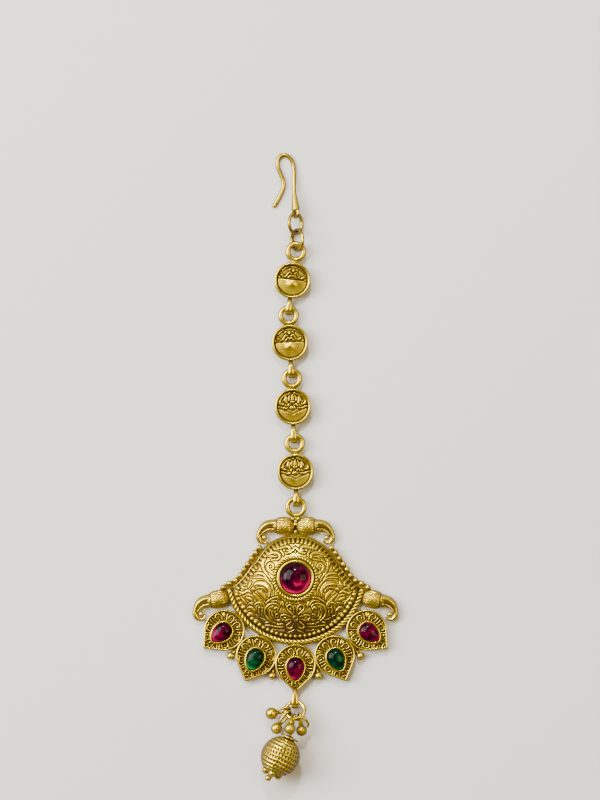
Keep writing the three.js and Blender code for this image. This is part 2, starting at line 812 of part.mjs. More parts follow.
const bead = piece("drop_bead", dropBead(), gold);
bead.position.copy(beadCentre);
bead.rotation.z = beadTurn;
tikka.add(bead);

const extent = new THREE.Box3().setFromObject(tikka, true);
tikka.position.set(
  -(extent.min.x + extent.max.x) / 2,
  -(extent.min.y + extent.max.y) / 2,
  -extent.min.z,
);

export default tikka;
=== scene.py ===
# Maang tikka lying flat with its face up: antique gold, red and green cabochons.
# Lengths are millimetres from the centre of the rope circle, and become metres in addPiece.
import math
import bpy
import numpy as np
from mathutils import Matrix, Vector


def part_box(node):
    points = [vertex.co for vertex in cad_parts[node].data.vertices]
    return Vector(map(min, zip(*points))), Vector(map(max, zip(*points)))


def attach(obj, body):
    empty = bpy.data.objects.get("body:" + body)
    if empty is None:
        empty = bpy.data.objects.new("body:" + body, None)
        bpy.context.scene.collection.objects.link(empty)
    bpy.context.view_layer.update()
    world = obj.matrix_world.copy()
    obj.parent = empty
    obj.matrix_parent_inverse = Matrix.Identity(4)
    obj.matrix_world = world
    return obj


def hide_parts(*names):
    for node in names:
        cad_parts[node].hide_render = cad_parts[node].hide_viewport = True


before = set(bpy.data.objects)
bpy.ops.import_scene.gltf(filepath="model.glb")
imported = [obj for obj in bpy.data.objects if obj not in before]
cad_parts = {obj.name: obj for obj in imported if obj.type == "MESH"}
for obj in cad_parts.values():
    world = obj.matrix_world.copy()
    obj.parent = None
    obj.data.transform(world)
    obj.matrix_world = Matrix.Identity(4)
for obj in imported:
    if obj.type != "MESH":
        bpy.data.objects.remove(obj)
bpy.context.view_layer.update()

stoneLow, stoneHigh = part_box("centre_stone")
stoneY = -0.92
stoneSeat = 4.55
circleCentre = np.array([
    500 * (stoneLow.x + stoneHigh.x),
    500 * (stoneLow.y + stoneHigh.y) - stoneY,
    1000 * stoneLow.z - stoneSeat,
])


# Angles, outlines and routes.

def roundTurn(count):
    # Evenly spaced angles, once round.
    return np.arange(count) * 2 * math.pi / count


def circle(radius, angle):
    return np.stack([radius * np.cos(angle), radius * np.sin(angle)], axis=1)


def unit(rows):
    return rows / np.linalg.norm(rows, axis=1)[:, None]


def atHeight(outline, z):
    return np.column_stack([outline, np.full(len(outline), z)])


def bothSides(right):
    # A right half, then its mirror image.
    return np.vstack([right, right[1:-1][::-1] * (-1, 1)])


def lengths(route):
    # How far along a route each of its points lies.
    return np.r_[0, np.cumsum(np.linalg.norm(np.diff(route, axis=0), axis=1))]


def sampled(route, at):
    along = lengths(route)
    return np.stack([np.interp(at, along, route[:, k]) for k in range(route.shape[1])], axis=1)


def curveThrough(points, count, closed=False):
    p = np.array(points, float)
    ends = (p[-1:], p[:2]) if closed else (2 * p[:1] - p[1:2], 2 * p[-1:] - p[-2:-1])
    ext = np.vstack([ends[0], p, ends[1]])
    t = np.linspace(0, 1, 16, endpoint=False)[:, None]
    fine = []
    for a, b, c, d in zip(ext[:-3], ext[1:-2], ext[2:-1], ext[3:]):
        fine.append(0.5 * (2 * b + (c - a) * t + (2 * a - 5 * b + 4 * c - d) * t**2
                           + (3 * b - a - 3 * c + d) * t**3))
    fine = np.vstack(fine + [p[:1] if closed else p[-1:]])
    return sampled(fine, np.linspace(0, lengths(fine)[-1], count + closed)[:count])


def pearOutline(radius, tip, count=96):
    # A round with two straight flanks that meet at a tip below it.
    spread = math.acos(radius / tip)
    arc = circle(radius, np.linspace(-math.pi / 2 + spread, 1.5 * math.pi - spread, 60))
    loop = np.vstack([arc, [[0.0, -tip]], arc[:1]])
    along = lengths(loop)
    at = (np.linspace(0, along[-1], count + 1)[:-1] + along[-2]) % along[-1]  # starts at the tip
    return sampled(loop, at)


def stadium(halfLength, halfHeight, count):
    # The route round a long eye in the YZ plane.
    right = circle(halfHeight, np.linspace(-math.pi / 2, math.pi / 2, count // 2))
    right[:, 0] += max(halfLength - halfHeight, 0.0)
    loop = np.vstack([right, -right])
    return np.column_stack([np.zeros(len(loop)), loop])


def radiusAround(outline, centre):
    # Distance of the outline from a centre, for any angle.
    away = outline - np.array(centre)
    angle = np.arctan2(away[:, 1], away[:, 0])
    order = np.argsort(angle)
    reach = np.hypot(away[:, 0], away[:, 1])
    return lambda a: np.interp(a, angle[order], reach[order], period=2 * math.pi)


# Shapes are pairs: an array of points and a list of faces. They are joined before they become a mesh.

def gridFaces(rows, columns, wrapRows=False, poles=()):
    # Faces between rows of points that run once round; a pole is a row drawn together in one point.
    r, c = np.meshgrid(np.arange(rows if wrapRows else rows - 1), np.arange(columns), indexing="ij")
    up = (r + 1) % rows
    on = (c + 1) % columns
    quads = np.stack([r * columns + c, r * columns + on, up * columns + on, up * columns + c], axis=-1)
    faces = quads.reshape(-1, 4).tolist()
    for row in poles:
        keep = row * columns
        faces = [[keep if keep <= i < keep + columns else i for i in face] for face in faces]
    faces = [tuple(dict.fromkeys(face)) for face in faces]
    return [face for face in faces if len(face) > 2]


def joined(shapes):
    faces = []
    start = 0
    for points, shapeFaces in shapes:
        faces += [tuple(i + start for i in face) for face in shapeFaces]
        start += len(points)
    return np.vstack([points for points, _ in shapes]), faces


def based(shape, x, y, z, to):
    # Puts a shape's own axes along x, y and z.
    return np.array(shape[0], float) @ np.array([x, y, z], float) + np.array(to, float), shape[1]


def moved(shape, to=(0, 0, 0), turn=0.0, flip=False):
    c, s = math.cos(turn), math.sin(turn)
    points, faces = based(shape, (c, s, 0), (-s, c, 0), (0, 0, 1), to)
    if flip:
        points[:, 0] *= -1
        faces = [tuple(reversed(face)) for face in faces]
    return points, faces


def pathFrame(path, up, closed):
    # Unit vectors across a path and above it.
    ahead = unit(np.roll(path, -1, 0) - np.roll(path, 1, 0) if closed else np.gradient(path, axis=0))
    across = unit(np.cross(ahead, np.array(up, float)))
    return across, np.cross(across, ahead)


def sweep(path, radius, sides=12, closed=False, section=None, up=(0, 0, 1)):
    # A tube along a path; radius is one number, one for each step, or one for each point of each ring.
    path = np.asarray(path, float)
    across, rise = pathFrame(path, up, closed)
    section = circle(1, roundTurn(sides)) if section is None else np.array(section, float)
    count = len(section)
    size = np.asarray(radius, float)
    if size.ndim == 1:
        size = size[:, None]
    size = np.broadcast_to(size, (len(path), count))
    ring = (across[:, None] * (section[None, :, 0] * size)[..., None]
            + rise[:, None] * (section[None, :, 1] * size)[..., None])
    points = (path[:, None] + ring).reshape(-1, 3)
    faces = [tuple(reversed(face)) for face in gridFaces(len(path), count, wrapRows=closed)]
    if not closed:
        faces += [tuple(range(count)), tuple(reversed(range(len(points) - count, len(points))))]
    return points, faces


def roundEnds(count, radius, last=None, blunt=4):
    # Radii that close softly at both ends of a wire.
    size = np.linspace(radius, last or radius, count)
    for i in range(blunt):
        close = math.sqrt(1 - (1 - (i + 0.35) / blunt) ** 2)
        size[i] *= close
        size[-1 - i] *= close
    return size


def lathe(profile, steps=48):
    # Turns (radius, height) round Z; a radius of 0 at either end closes it.
    rows = [atHeight(circle(radius, roundTurn(steps)), z) for radius, z in profile]
    poles = [row for row in (0, len(rows) - 1) if profile[row][0] < 1e-6]
    return np.vstack(rows), gridFaces(len(rows), steps, poles=poles)


def ball(radius, centre=(0, 0, 0), segments=20, rings=12, squash=1.0):
    profile = circle(radius, np.linspace(-math.pi / 2, math.pi / 2, rings + 1)) * (1, squash)
    profile[[0, -1], 0] = 0
    return moved(lathe(profile, segments), centre)


def torus(ringRadius, wire, steps=64, sides=14):
    return sweep(atHeight(circle(ringRadius, roundTurn(steps)), 0), wire, sides, closed=True)


def slab(outline, low, high, edge=0.08):
    # A flat plate with softened edges; the outline runs counter-clockwise.
    outline = np.array(outline, float)
    ahead = np.roll(outline, -1, 0) - np.roll(outline, 1, 0)
    ahead /= np.linalg.norm(ahead, axis=1)[:, None] + 1e-12
    inward = np.stack([-ahead[:, 1], ahead[:, 0]], axis=1)
    levels = ((edge, low), (0, low + edge), (0, high - edge), (edge, high))
    rows = [atHeight(outline + inward * inset, z) for inset, z in levels]
    count = len(outline)
    ends = [tuple(reversed(range(count))), tuple(range(3 * count, 4 * count))]
    return np.vstack(rows), gridFaces(4, count) + ends


# Finishes. A node's inputs are constants or the outputs of other nodes.

def feed(node, inputs):
    for name, value in inputs.items():
        if isinstance(value, bpy.types.NodeSocket):
            node.id_data.links.new(value, node.inputs[name])
        else:
            node.inputs[name].default_value = value


def addNode(tree, kind, inputs={}, **values):
    node = tree.nodes.new(kind)
    for key, value in values.items():
        setattr(node, key, value)
    feed(node, inputs)
    return node


def rampNode(tree, fac, stops, mode="LINEAR"):
    ramp = addNode(tree, "ShaderNodeValToRGB", {"Fac": fac})
    ramp.color_ramp.interpolation = mode
    elements = ramp.color_ramp.elements
    while len(elements) < len(stops):
        elements.new(0.5)
    for element, (at, colour) in zip(elements, stops):
        element.position = at
        element.color = (*colour, 1.0)
    return ramp.outputs["Color"]


def rangeNode(tree, value, low, high, fromLow=0.0, fromHigh=1.0):
    inputs = {"Value": value, "From Min": fromLow, "From Max": fromHigh, "To Min": low, "To Max": high}
    return addNode(tree, "ShaderNodeMapRange", inputs).outputs["Result"]


def noiseNode(tree, scale, detail, distortion=0.0):
    place = addNode(tree, "ShaderNodeTexCoord").outputs["Object"]
    inputs = {"Vector": place, "Scale": scale, "Detail": detail, "Distortion": distortion}
    return addNode(tree, "ShaderNodeTexNoise", inputs).outputs["Fac"]


def mathNode(tree, operation, first, second, clamp=False):
    inputs = {0: first, 1: second}
    return addNode(tree, "ShaderNodeMath", inputs, operation=operation, use_clamp=clamp).outputs["Value"]


def shaderOf(name):
    # A new material that holds one shader.
    material = bpy.data.materials.new(name)
    material.use_nodes = True
    tree = material.node_tree
    tree.nodes.clear()
    shader = addNode(tree, "ShaderNodeBsdfPrincipled")
    addNode(tree, "ShaderNodeOutputMaterial", {"Surface": shader.outputs["BSDF"]})
    return material, tree, shader


black = (0, 0, 0)
white = (1, 1, 1)
goldLook = {
    "yellowGold": [(0.87, 0.56, 0.012), (0.98, 0.72, 0.022)],
    "aged": [(0.5, 0.3, 0.012), (0.9, 0.64, 0.02)],
    "toneScale": 160.0,
    # The dark colour of patina in the hollows, also used for painted shade.
    "patinaAndShade": (0.055, 0.025, 0.005, 1.0),
    "patinaMetal": 0.5,
    "patinaRough": 0.5,
    "stainScale": 420.0,
    "grainScale": 2600.0,  # fine casting grain
    "grainDepth": 0.006,
}


def goldFinish(name, recess, polish, tarnish, edgeOnShade, tones="yellowGold"):
    look = goldLook
    material, tree, shader = shaderOf(name)
    # Dark patina where the relief is low, and painted shade in the patina colour where neighbours shut the
    # light out.
    shut = addNode(tree, "ShaderNodeAmbientOcclusion", {"Distance": recess * 0.001}, samples=12)
    opening = rampNode(tree, shut.outputs["AO"], [(0.34, black), (0.86, white)], "EASE")
    relief = addNode(tree, "ShaderNodeAttribute", attribute_name="relief")
    height = rampNode(tree, relief.outputs["Fac"], [(0.12, black), (0.62, white)], "EASE")
    stain = rangeNode(tree, noiseNode(tree, look["stainScale"], 4.0), 1.0, 1.0 - 0.28 * tarnish, 0.35, 0.7)
    # Painted shade: surfaces seen edge-on turn towards the dark patina colour, as shade on the flanks of
    # rounded forms.
    tilt = addNode(tree, "ShaderNodeLayerWeight", {"Blend": 0.5})
    yellowGold = rangeNode(tree, tilt.outputs["Facing"], 1.0, edgeOnShade, 0.1, 0.48)
    high = mathNode(tree, "MULTIPLY", opening, height)
    stainAndPaintedShade = mathNode(tree, "MULTIPLY", stain, yellowGold)
    cleanAndLit = mathNode(tree, "MULTIPLY", high, stainAndPaintedShade)
    gold = rampNode(tree, noiseNode(tree, look["toneScale"], 2.0), list(zip((0.35, 0.6), look[tones])))
    colour = addNode(tree, "ShaderNodeMix", {"Factor": cleanAndLit, "A": look["patinaAndShade"], "B": gold},
                     data_type="RGBA")
    grain = noiseNode(tree, look["grainScale"], 3.0)
    depth = look["grainDepth"] * 0.001
    bump = addNode(tree, "ShaderNodeBump", {"Strength": 0.5, "Distance": depth, "Height": grain})
    feed(shader, {
        "Base Color": colour.outputs["Result"],
        "Metallic": rangeNode(tree, cleanAndLit, look["patinaMetal"], 1.0),
        "Roughness": rangeNode(tree, cleanAndLit, look["patinaRough"], polish),
        "Normal": bump.outputs["Normal"],
    })
    return material


gemLook = {
    "rubyStone": [(0.08, (0.012, 0.0, 0.004)), (0.5, (0.13, 0.001, 0.022)), (1.0, (0.6, 0.006, 0.085))],
    "emeraldStone": [(0.08, (0.001, 0.01, 0.004)), (0.5, (0.002, 0.055, 0.014)), (1.0, (0.012, 0.3, 0.07))],
    "cloudScale": 620.0,
    "cloud": 0.22,
}


def gemFinish(name):
    # The light that gathers inside a stone is in its "glow"; a fine cloud breaks it up.
    look = gemLook
    material, tree, shader = shaderOf(name)
    glow = addNode(tree, "ShaderNodeAttribute", attribute_name="glow")
    noise = noiseNode(tree, look["cloudScale"], 3.0, 0.8)
    cloud = rangeNode(tree, noise, -look["cloud"], look["cloud"], 0.3, 0.7)
    colour = rampNode(tree, mathNode(tree, "ADD", glow.outputs["Fac"], cloud, clamp=True), look[name])
    feed(shader, {"Base Color": colour, "Roughness": 0.085, "IOR": 1.5, "Specular IOR Level": 0.1,
                  "Emission Color": colour, "Emission Strength": 0.12})
    return material


reliefGold = goldFinish("reliefGold", recess=0.28, polish=0.22, tarnish=0.5, edgeOnShade=0.25)
castGold = goldFinish("castGold", recess=0.4, polish=0.22, tarnish=0.7, edgeOnShade=0.1)
wireGold = goldFinish("wireGold", recess=0.4, polish=0.2, tarnish=0.6, edgeOnShade=0.1)
agedGold = goldFinish("agedGold", recess=0.5, polish=0.22, tarnish=0.9, edgeOnShade=0.0, tones="aged")
rubyStone = gemFinish("rubyStone")
emeraldStone = gemFinish("emeraldStone")


def addPiece(name, shape, material, replaces=("pendant",), relief=None, glow=None,
             smoothTo=70):
    points, faces = shape
    mesh = bpy.data.meshes.new(name)
    mesh.from_pydata(((points + circleCentre) * 0.001).tolist(), [], faces)
    mesh.validate()
    shades = {"relief": np.ones(len(points)) if relief is None else relief}
    if glow is not None:
        shades["glow"] = glow
    for attribute, shade in shades.items():
        layer = mesh.color_attributes.new(attribute, "FLOAT_COLOR", "POINT")
        colours = np.ones((len(points), 4))
        colours[:, :3] = shade[:, None]
        layer.data.foreach_set("color", colours.ravel())
    mesh.polygons.foreach_set("use_smooth", [True] * len(mesh.polygons))
    mesh.set_sharp_from_angle(angle=math.radians(smoothTo))
    mesh.materials.append(material)
    piece = bpy.data.objects.new(name, mesh)
    bpy.context.scene.collection.objects.link(piece)
    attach(piece, "root")
    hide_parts(*replaces)
    return piece


# Relief: each stroke is a rounded ridge along a route, with a chased groove beside it.
# A stroke is its route, its widths along the route and, where it isn't of full height, its share of it.

def routeDistance(x, y, route):
    nearest = np.full(x.shape, 1e9)
    where = np.zeros(x.shape)
    last = len(route) - 1
    for i in range(last):
        ax, ay = route[i]
        dx, dy = route[i + 1][0] - ax, route[i + 1][1] - ay
        t = np.clip(((x - ax) * dx + (y - ay) * dy) / (dx * dx + dy * dy + 1e-12), 0, 1)
        gap = np.hypot(x - ax - t * dx, y - ay - t * dy)
        closer = gap < nearest
        nearest = np.where(closer, gap, nearest)
        where = np.where(closer, (i + t) / last, where)
    return nearest, where


def bolder(strokes, by):
    return [(route, np.array(widths) * by, *share) for route, widths, *share in strokes]


def carve(x, y, strokes, rise, groove, grooveWidth):
    # Height over the plain surface at each point, from all the strokes; both halves get the same.
    x = np.abs(x)
    nothing = -9.0
    ridge = np.full(x.shape, nothing)
    trench = np.zeros(x.shape)
    for route, widths, *share in strokes:
        route = np.array(route, float)
        halves = np.array(widths, float) / 2
        if len(route) > 2:
            route = curveThrough(route, 5 * len(route))
        low, high = route.min(axis=0), route.max(axis=0)
        edge = halves.max() + 3 * grooveWidth
        near = (x > low[0] - edge) & (x < high[0] + edge) & (y > low[1] - edge) & (y < high[1] + edge)
        if not near.any():
            continue
        gap, where = routeDistance(x[near], y[near], route)
        half = np.interp(where, np.linspace(0, 1, len(halves)), halves)
        lift = rise * (share[0] if share else 1.0)
        inside = np.clip(1 - (gap / half) ** 3.2, 0, 1) ** 0.5
        crest = np.where(gap < half, -groove + (lift + groove) * inside, nothing)
        ridge[near] = np.maximum(ridge[near], crest)
        out = np.clip(gap - half, 0, None)
        trench[near] = np.minimum(trench[near], -groove * np.exp(-((out / grooveWidth) ** 2)))
    return np.where(ridge > nothing / 2, ridge, trench)


# The dome.

domeSize = {
    "crownRadius": 10.0, "crownY": -1.28, "crownEnd": 25, "skirt": 14.85, "skirtEnd": -12.5, "edge": 1.75,
    "rise": 3.3, "middleY": -3.0, "foot": 0.6, "hole": 4.1, "around": 760, "outward": 92,
    "reliefRise": 0.25, "groove": 0.24, "grooveWidth": 0.14, "bolder": 1.05,
    "paintedShadeLow": 0.43, "darkTeeth": 0.38,
}
crownFlare = [(9.06, 2.95), (10.2, 1.95), (11.5, 0.1), (12.9, -1.5), (14.7, -3.2)]


def crownRoute(count=120):
    size = domeSize
    angle = np.radians(np.linspace(90, size["crownEnd"], 40))
    arc = circle(size["crownRadius"], angle) + (0, size["crownY"])
    return curveThrough(np.vstack([arc, curveThrough(crownFlare, 40)[1:]]), count)


def domeOutline():
    skirt = circle(domeSize["skirt"], np.radians(np.linspace(domeSize["skirtEnd"], -90, 120)))
    return bothSides(np.vstack([crownRoute(), skirt]))  # clockwise from the top


domeReach = radiusAround(domeOutline(), (0, domeSize["middleY"]))


def domeHeight(x, y):
    size = domeSize
    y = y - size["middleY"]
    out = np.clip(np.hypot(x, y) / domeReach(np.arctan2(y, x)), 0, 1)
    return size["edge"] + size["rise"] * (1 - out**2.2) ** 0.8


# Strokes of the right half, from the crown down. The left half mirrors them.
domeStrokes = [
    # crown scroll, its stem and the pointed arch in the middle
    ([(4.7, 5.75), (3.7, 6.05), (2.8, 6.25), (2, 6.5), (1.35, 6.15), (1.45, 5.6), (1.95, 5.5)], [0.35, 0.7,
     0.8, 0.75, 0.5]),
    ([(3.5, 6.75), (2.8, 6.85), (2.2, 7.05)], [0.2, 0.34, 0.2], 0.7),
    ([(3.35, 5.5), (3, 5), (2.75, 4.35)], [0.6, 0.5, 0.3]),
    ([(0, 6.25), (0.6, 5.7), (1.25, 5.12), (2, 4.85), (2.4, 5.05)], [0.5, 0.7, 0.65, 0.6, 0.3]),
    ([(0, 5.45), (0, 5.2)], [0.3, 0.5], 0.7),
    # oval curl
    ([(6.5, 4.45), (5.5, 4.98), (4.6, 5.08), (3.85, 4.72), (3.62, 4.05), (4.1, 3.48), (4.9, 3.42),
     (5.7, 3.25)], [0.4, 0.7, 0.74, 0.7, 0.66, 0.6, 0.5, 0.3]),
    ([(4.25, 4.12), (4.9, 4.12), (5.6, 4.3), (6.3, 4)], [0.36, 0.44, 0.5, 0.3], 0.85),
    # round spiral and the stem beside it
    ([(4.85, -0.1), (5.5, 0.5), (6.2, 1.15), (6.42, 1.95), (6, 2.5), (5.4, 2.48), (5.05, 2), (5.2, 1.4),
     (5.65, 1.22)], [0.35, 0.62, 0.74, 0.72, 0.7, 0.64, 0.56, 0.48, 0.4]),
    ([(7, 3.55), (7.62, 2.75), (7.5, 1.75), (7.1, 0.75), (6.45, -0.1), (5.85, -0.9), (5.5, -1.6)], [0.5,
     0.85, 0.8, 0.62, 0.5, 0.42, 0.25], 0.8),
    # great crescent leaf: three lobes, one inside the next
    ([(9.5, 0), (8.8, 0.32), (8, 0.3), (7.3, -0.02), (6.75, -0.7), (6.35, -1.35)], [0.3, 0.62, 0.72, 0.6,
     0.42, 0.2]),
    ([(9.9, -0.75), (9.1, -0.7), (8.1, -0.62), (7.15, -0.85), (6.35, -1.45), (5.65, -2.25), (5.15, -3.2),
     (4.98, -4.2), (5.2, -5)], [0.3, 0.46, 0.5, 0.46, 0.42, 0.4, 0.36, 0.34, 0.2], 0.85),
    ([(9.35, -2.35), (8.95, -2), (8.1, -1.95), (7.15, -2.15), (6.45, -2.8), (6, -3.7), (5.98, -4.6),
     (6.15, -5.3)], [0.5, 1, 1.15, 1.1, 0.95, 0.75, 0.55, 0.3]),
    ([(8.95, -3.12), (8.2, -2.98), (7.5, -3.08), (6.95, -3.5), (6.68, -4.15)], [0.3, 0.4, 0.42, 0.38, 0.2]),
    ([(8.55, -3.75), (8, -4.05), (7.5, -4.6), (7.12, -5.25), (6.95, -5.8)], [0.5, 1, 1.05, 0.8, 0.3]),
    ([(9.65, -4.35), (9.1, -4.95), (8.5, -5.65), (7.9, -6.25), (7.4, -6.8), (7.15, -7.4)], [0.4, 0.75, 0.9,
     0.85, 0.7, 0.3]),
    ([(9.55, -7.3), (9.2, -6.85), (8.6, -6.5), (8, -6.72), (7.65, -7.2)], [0.3, 0.5, 0.55, 0.45, 0.25]),
    ([(9.65, -3.35), (9.6, -3.4)], [1.05]),
    # leaves towards the tip
    ([(10.15, -1.6), (10.5, -2.2), (10.85, -2.85)], [0.4, 0.9, 0.5]),
    ([(11.1, -1.9), (11.3, -2.5)], [0.3, 0.4], 0.8),
    ([(12.4, -3.05), (11.8, -3.15), (11.2, -3.3)], [0.4, 0.7, 0.4]),
    ([(12.9, -3.95), (12.2, -4.4), (11.5, -4.12), (10.85, -3.85), (10.25, -4.25)], [0.4, 0.85, 0.7, 0.85,
     0.45]),
    ([(12.75, -4.7), (12.6, -5.2)], [0.4, 0.55], 0.8),
    ([(11.25, -5.3), (10.6, -5.6), (9.85, -5.95)], [0.5, 1, 0.4]),
    ([(12.35, -5.45), (11.9, -6.1), (11.3, -6.85)], [0.4, 0.8, 0.45]),
    ([(12.3, -7), (11.75, -7.5)], [0.35, 0.5], 0.8),
    ([(10.9, -6.9), (10.3, -6.6), (9.7, -6.55)], [0.3, 0.45, 0.3], 0.7),
    ([(11.1, -7.85), (10.4, -7.6), (9.8, -7.95), (9.2, -8.6)], [0.4, 0.8, 0.75, 0.3]),
    ([(10.9, -8.8), (10.2, -9.1), (9.5, -9.6)], [0.35, 0.7, 0.35]),
    ([(9.9, -8.4), (9.2, -9.25), (8.5, -9.6)], [0.25, 0.4, 0.25], 0.8),
    ([(8.3, -7.6), (8.42, -8.15), (8.35, -8.75)], [0.6, 0.35, 0.5]),
    ([(7.7, -8.2), (7.65, -8.9), (7.85, -9.5)], [0.25, 0.35, 0.25], 0.7),
    ([(9.5, -10.4), (8.8, -10.6), (8.2, -11.1)], [0.3, 0.5, 0.3]),
    # lower scroll: outer arc, great arc, inner crescent and curls
    ([(6.95, -6.5), (6.2, -6.02), (5.5, -5.58), (4.7, -5.28), (3.95, -5.3), (3.35, -5.65)], [0.25, 0.45,
     0.52, 0.52, 0.46, 0.25]),
    ([(3.65, -7.6), (3.88, -7.1), (4.55, -6.75), (5.4, -6.7), (6.2, -7.02), (6.78, -7.7), (6.98, -8.5),
     (6.85, -9.3), (6.4, -10), (5.7, -10.65), (4.9, -11.12), (4, -11.38), (3.1, -11.38), (2.55, -11.2)],
     [0.25, 0.46, 0.52, 0.56, 0.58, 0.56, 0.5, 0.44, 0.38, 0.36, 0.38, 0.4, 0.36, 0.2]),
    ([(5.55, -6.15), (4.7, -6), (3.95, -6.2), (3.45, -6.7), (3.3, -7.3)], [0.2, 0.36, 0.4, 0.36, 0.2], 0.6),
    ([(3.05, -6.35), (2.85, -6.9), (2.8, -7.6)], [0.7, 0.6, 0.3]),
    ([(5.72, -7.95), (6.02, -8.6), (5.95, -9.3), (5.6, -10), (5.15, -10.4)], [0.25, 0.4, 0.4, 0.34, 0.2]),
    ([(5.35, -8.35), (5.45, -9), (5.2, -9.6)], [0.3, 0.6, 0.35], 0.9),
    ([(4.9, -8.15), (4.75, -7.75), (4.3, -7.6), (3.95, -7.9), (4.1, -8.35)], [0.35, 0.5, 0.52, 0.46, 0.3]),
    ([(4.6, -9.65), (4.5, -9.2), (4.1, -9.02), (3.8, -9.3)], [0.3, 0.38, 0.36, 0.25]),
    ([(4.7, -10.4), (4.1, -10.5), (3.5, -10.25)], [0.2, 0.34, 0.2], 0.6),
    ([(8.1, -9.95), (7.4, -10.3), (6.7, -10.5)], [0.25, 0.42, 0.3]),
    ([(6.95, -11.15), (6.4, -10.98)], [0.3, 0.45]),
    ([(7, -11.7), (6, -11.75), (5, -11.98), (4, -12.12), (3.1, -12.05), (2.6, -11.85)], [0.3, 0.36, 0.38,
     0.38, 0.34, 0.2]),
    ([(5.6, -12.6), (4.6, -12.75), (3.4, -12.85), (2.3, -12.8)], [0.2, 0.3, 0.3, 0.2], 0.5),
    # flower in the middle
    ([(0.62, -9.2), (1.35, -8.55), (1.95, -7.85), (1.85, -7.25), (1.3, -6.98), (0.72, -7.2), (0.42, -7.9),
     (0.4, -9)], [0.3, 0.36, 0.4, 0.42, 0.42, 0.4, 0.36, 0.28]),
    ([(1.2, -7.75), (0.95, -8.3)], [0.4, 0.2], 0.35),
    ([(0.95, -9.72), (1.8, -9.45), (2.6, -9.28), (3.2, -9.42), (3.35, -9.9), (3, -10.4), (2.4, -10.58),
     (1.7, -10.42), (1, -10.2)], [0.26, 0.34, 0.4, 0.42, 0.4, 0.4, 0.4, 0.34, 0.24]),
    ([(1.7, -9.95), (2.6, -9.92)], [0.2, 0.34], 0.3),
    ([(0.95, -10.85), (1.5, -11.3), (2.05, -11.85), (1.75, -12.35), (1.15, -12.4), (0.72, -12),
     (0.5, -11.2)], [0.26, 0.34, 0.36, 0.38, 0.38, 0.34, 0.26]),
    ([(0, -10.55), (0.35, -10.4), (0.55, -10.05), (0.4, -9.7), (0, -9.5)], [0.22, 0.24, 0.24, 0.24,
     0.22], 0.5),
    ([(1.9, -13.35), (1.2, -13.2), (0.55, -12.85), (0.2, -12.6)], [0.2, 0.34, 0.36, 0.24]),
    ([(2.2, -6.45), (1.5, -6.35), (0.8, -6.5), (0, -6.75)], [0.2, 0.32, 0.34, 0.4], 0.6),
]
crownBorder = {"inset": 0.9, "length": 1.3, "width": [0.66, 0.8], "pitch": 1.06, "rimInset": 0.16,
               "rimWidth": 0.34}


def crownStrokes():
    # A thin raised edge, and the row of rounded teeth inside it.
    size = crownBorder
    route = crownRoute(200)
    ahead = unit(np.gradient(route, axis=0))
    inward = np.stack([ahead[:, 1], -ahead[:, 0]], axis=1)
    along = lengths(route)
    rim = route + inward * size["rimInset"]
    strokes = [(rim[::5], [size["rimWidth"]], 0.9)]
    for k in range(int(along[-1] / size["pitch"])):
        i = int(np.searchsorted(along, (k + 0.5) * size["pitch"]))
        middle = route[i] + inward[i] * size["inset"]
        half = inward[i] * 0.5 * (size["length"] - 0.7)
        strokes.append(([middle - half, middle + half], size["width"], 1.05))
    return strokes


def makeDome():
    size = domeSize
    around, outward = size["around"], size["outward"]
    centre = np.array([0, stoneY])
    angle = np.linspace(-math.pi, math.pi, around, endpoint=False)
    step = np.linspace(0, 1, outward)[:, None]
    distance = size["hole"] + (radiusAround(domeOutline(), centre)(angle) - size["hole"]) * step
    x = np.cos(angle) * distance
    y = stoneY + np.sin(angle) * distance
    strokes = bolder(domeStrokes, size["bolder"]) + crownStrokes()
    lift = carve(x, y, strokes, size["reliefRise"], size["groove"], size["grooveWidth"])
    fade = np.clip((1 - step) / 0.012, 0, 1)  # nothing is carved at the very edge
    rows = [np.stack([x, y, domeHeight(x, y) + lift * fade], axis=-1)]
    # Painted shade: the ground darkens towards the bottom, where the dome turns away from the light; the
    # ground of the teeth is darker too.
    gap, _ = routeDistance(np.abs(x), y, crownRoute(40))
    dark = np.maximum(np.clip((-y - 1.5) / 9.0, 0, 1) ** 1.3 * size["paintedShadeLow"],
                      size["darkTeeth"] * np.exp(-((gap / 1.3) ** 6)))
    shade = np.clip((lift + size["groove"]) / (size["reliefRise"] + size["groove"]), 0, 1)
    shade = np.where(lift < 0.05, shade + 0.12 - dark, shade + 0.25)
    edge = np.stack([x[-1], y[-1]], axis=-1)
    walls = ((1.006, size["edge"] - 0.12), (1.008, 1.0), (1.008, size["foot"]))
    for scale, z in walls:
        rows.append(atHeight(centre + (edge - centre) * scale, z)[None])
    shade = np.r_[np.clip(shade, 0, 1).ravel(), np.full(len(walls) * around, 0.5)]
    shape = np.concatenate(rows).reshape(-1, 3), gridFaces(outward + len(walls), around)
    addPiece("domeRelief", shape, reliefGold, relief=shade)


makeDome()
print("dome done")


# Plate behind the dome, rope border and the rows of granules.

borderSize = {
    "plateCrown": 10.35, "plateRadius": 16.3, "plateTop": 1.3, "ropeRadius": 15.64, "ropeEnd": 76,
    "strands": 3, "strand": 0.31, "lay": 0.38, "twists": 44, "ropeBall": 0.55,
    "edgeBead": 0.66, "beadRow": 14.22, "beadRadius": 0.57, "beads": 33,
    "milgrainRadius": 4.86, "milgrainStrand": 0.25, "milgrainTwists": 44,
}
ledge = [(8.6, 6.3), (9.9, 4.6), (11.2, 2.7), (12.9, 0.0), (14.1, -1.2), (15.4, -1.8), (17.3, -2.9),
         (17.4, -5.0), (15.7, -4.4)]
edgeBeads = [(8.3, 6.1), (9.2, 4.95), (10.1, 3.7), (11.0, 2.3), (11.85, 1.15), (12.65, -0.23),
             (13.8, -1.4), (15.2, -2.1), (16.6, -3.0)]


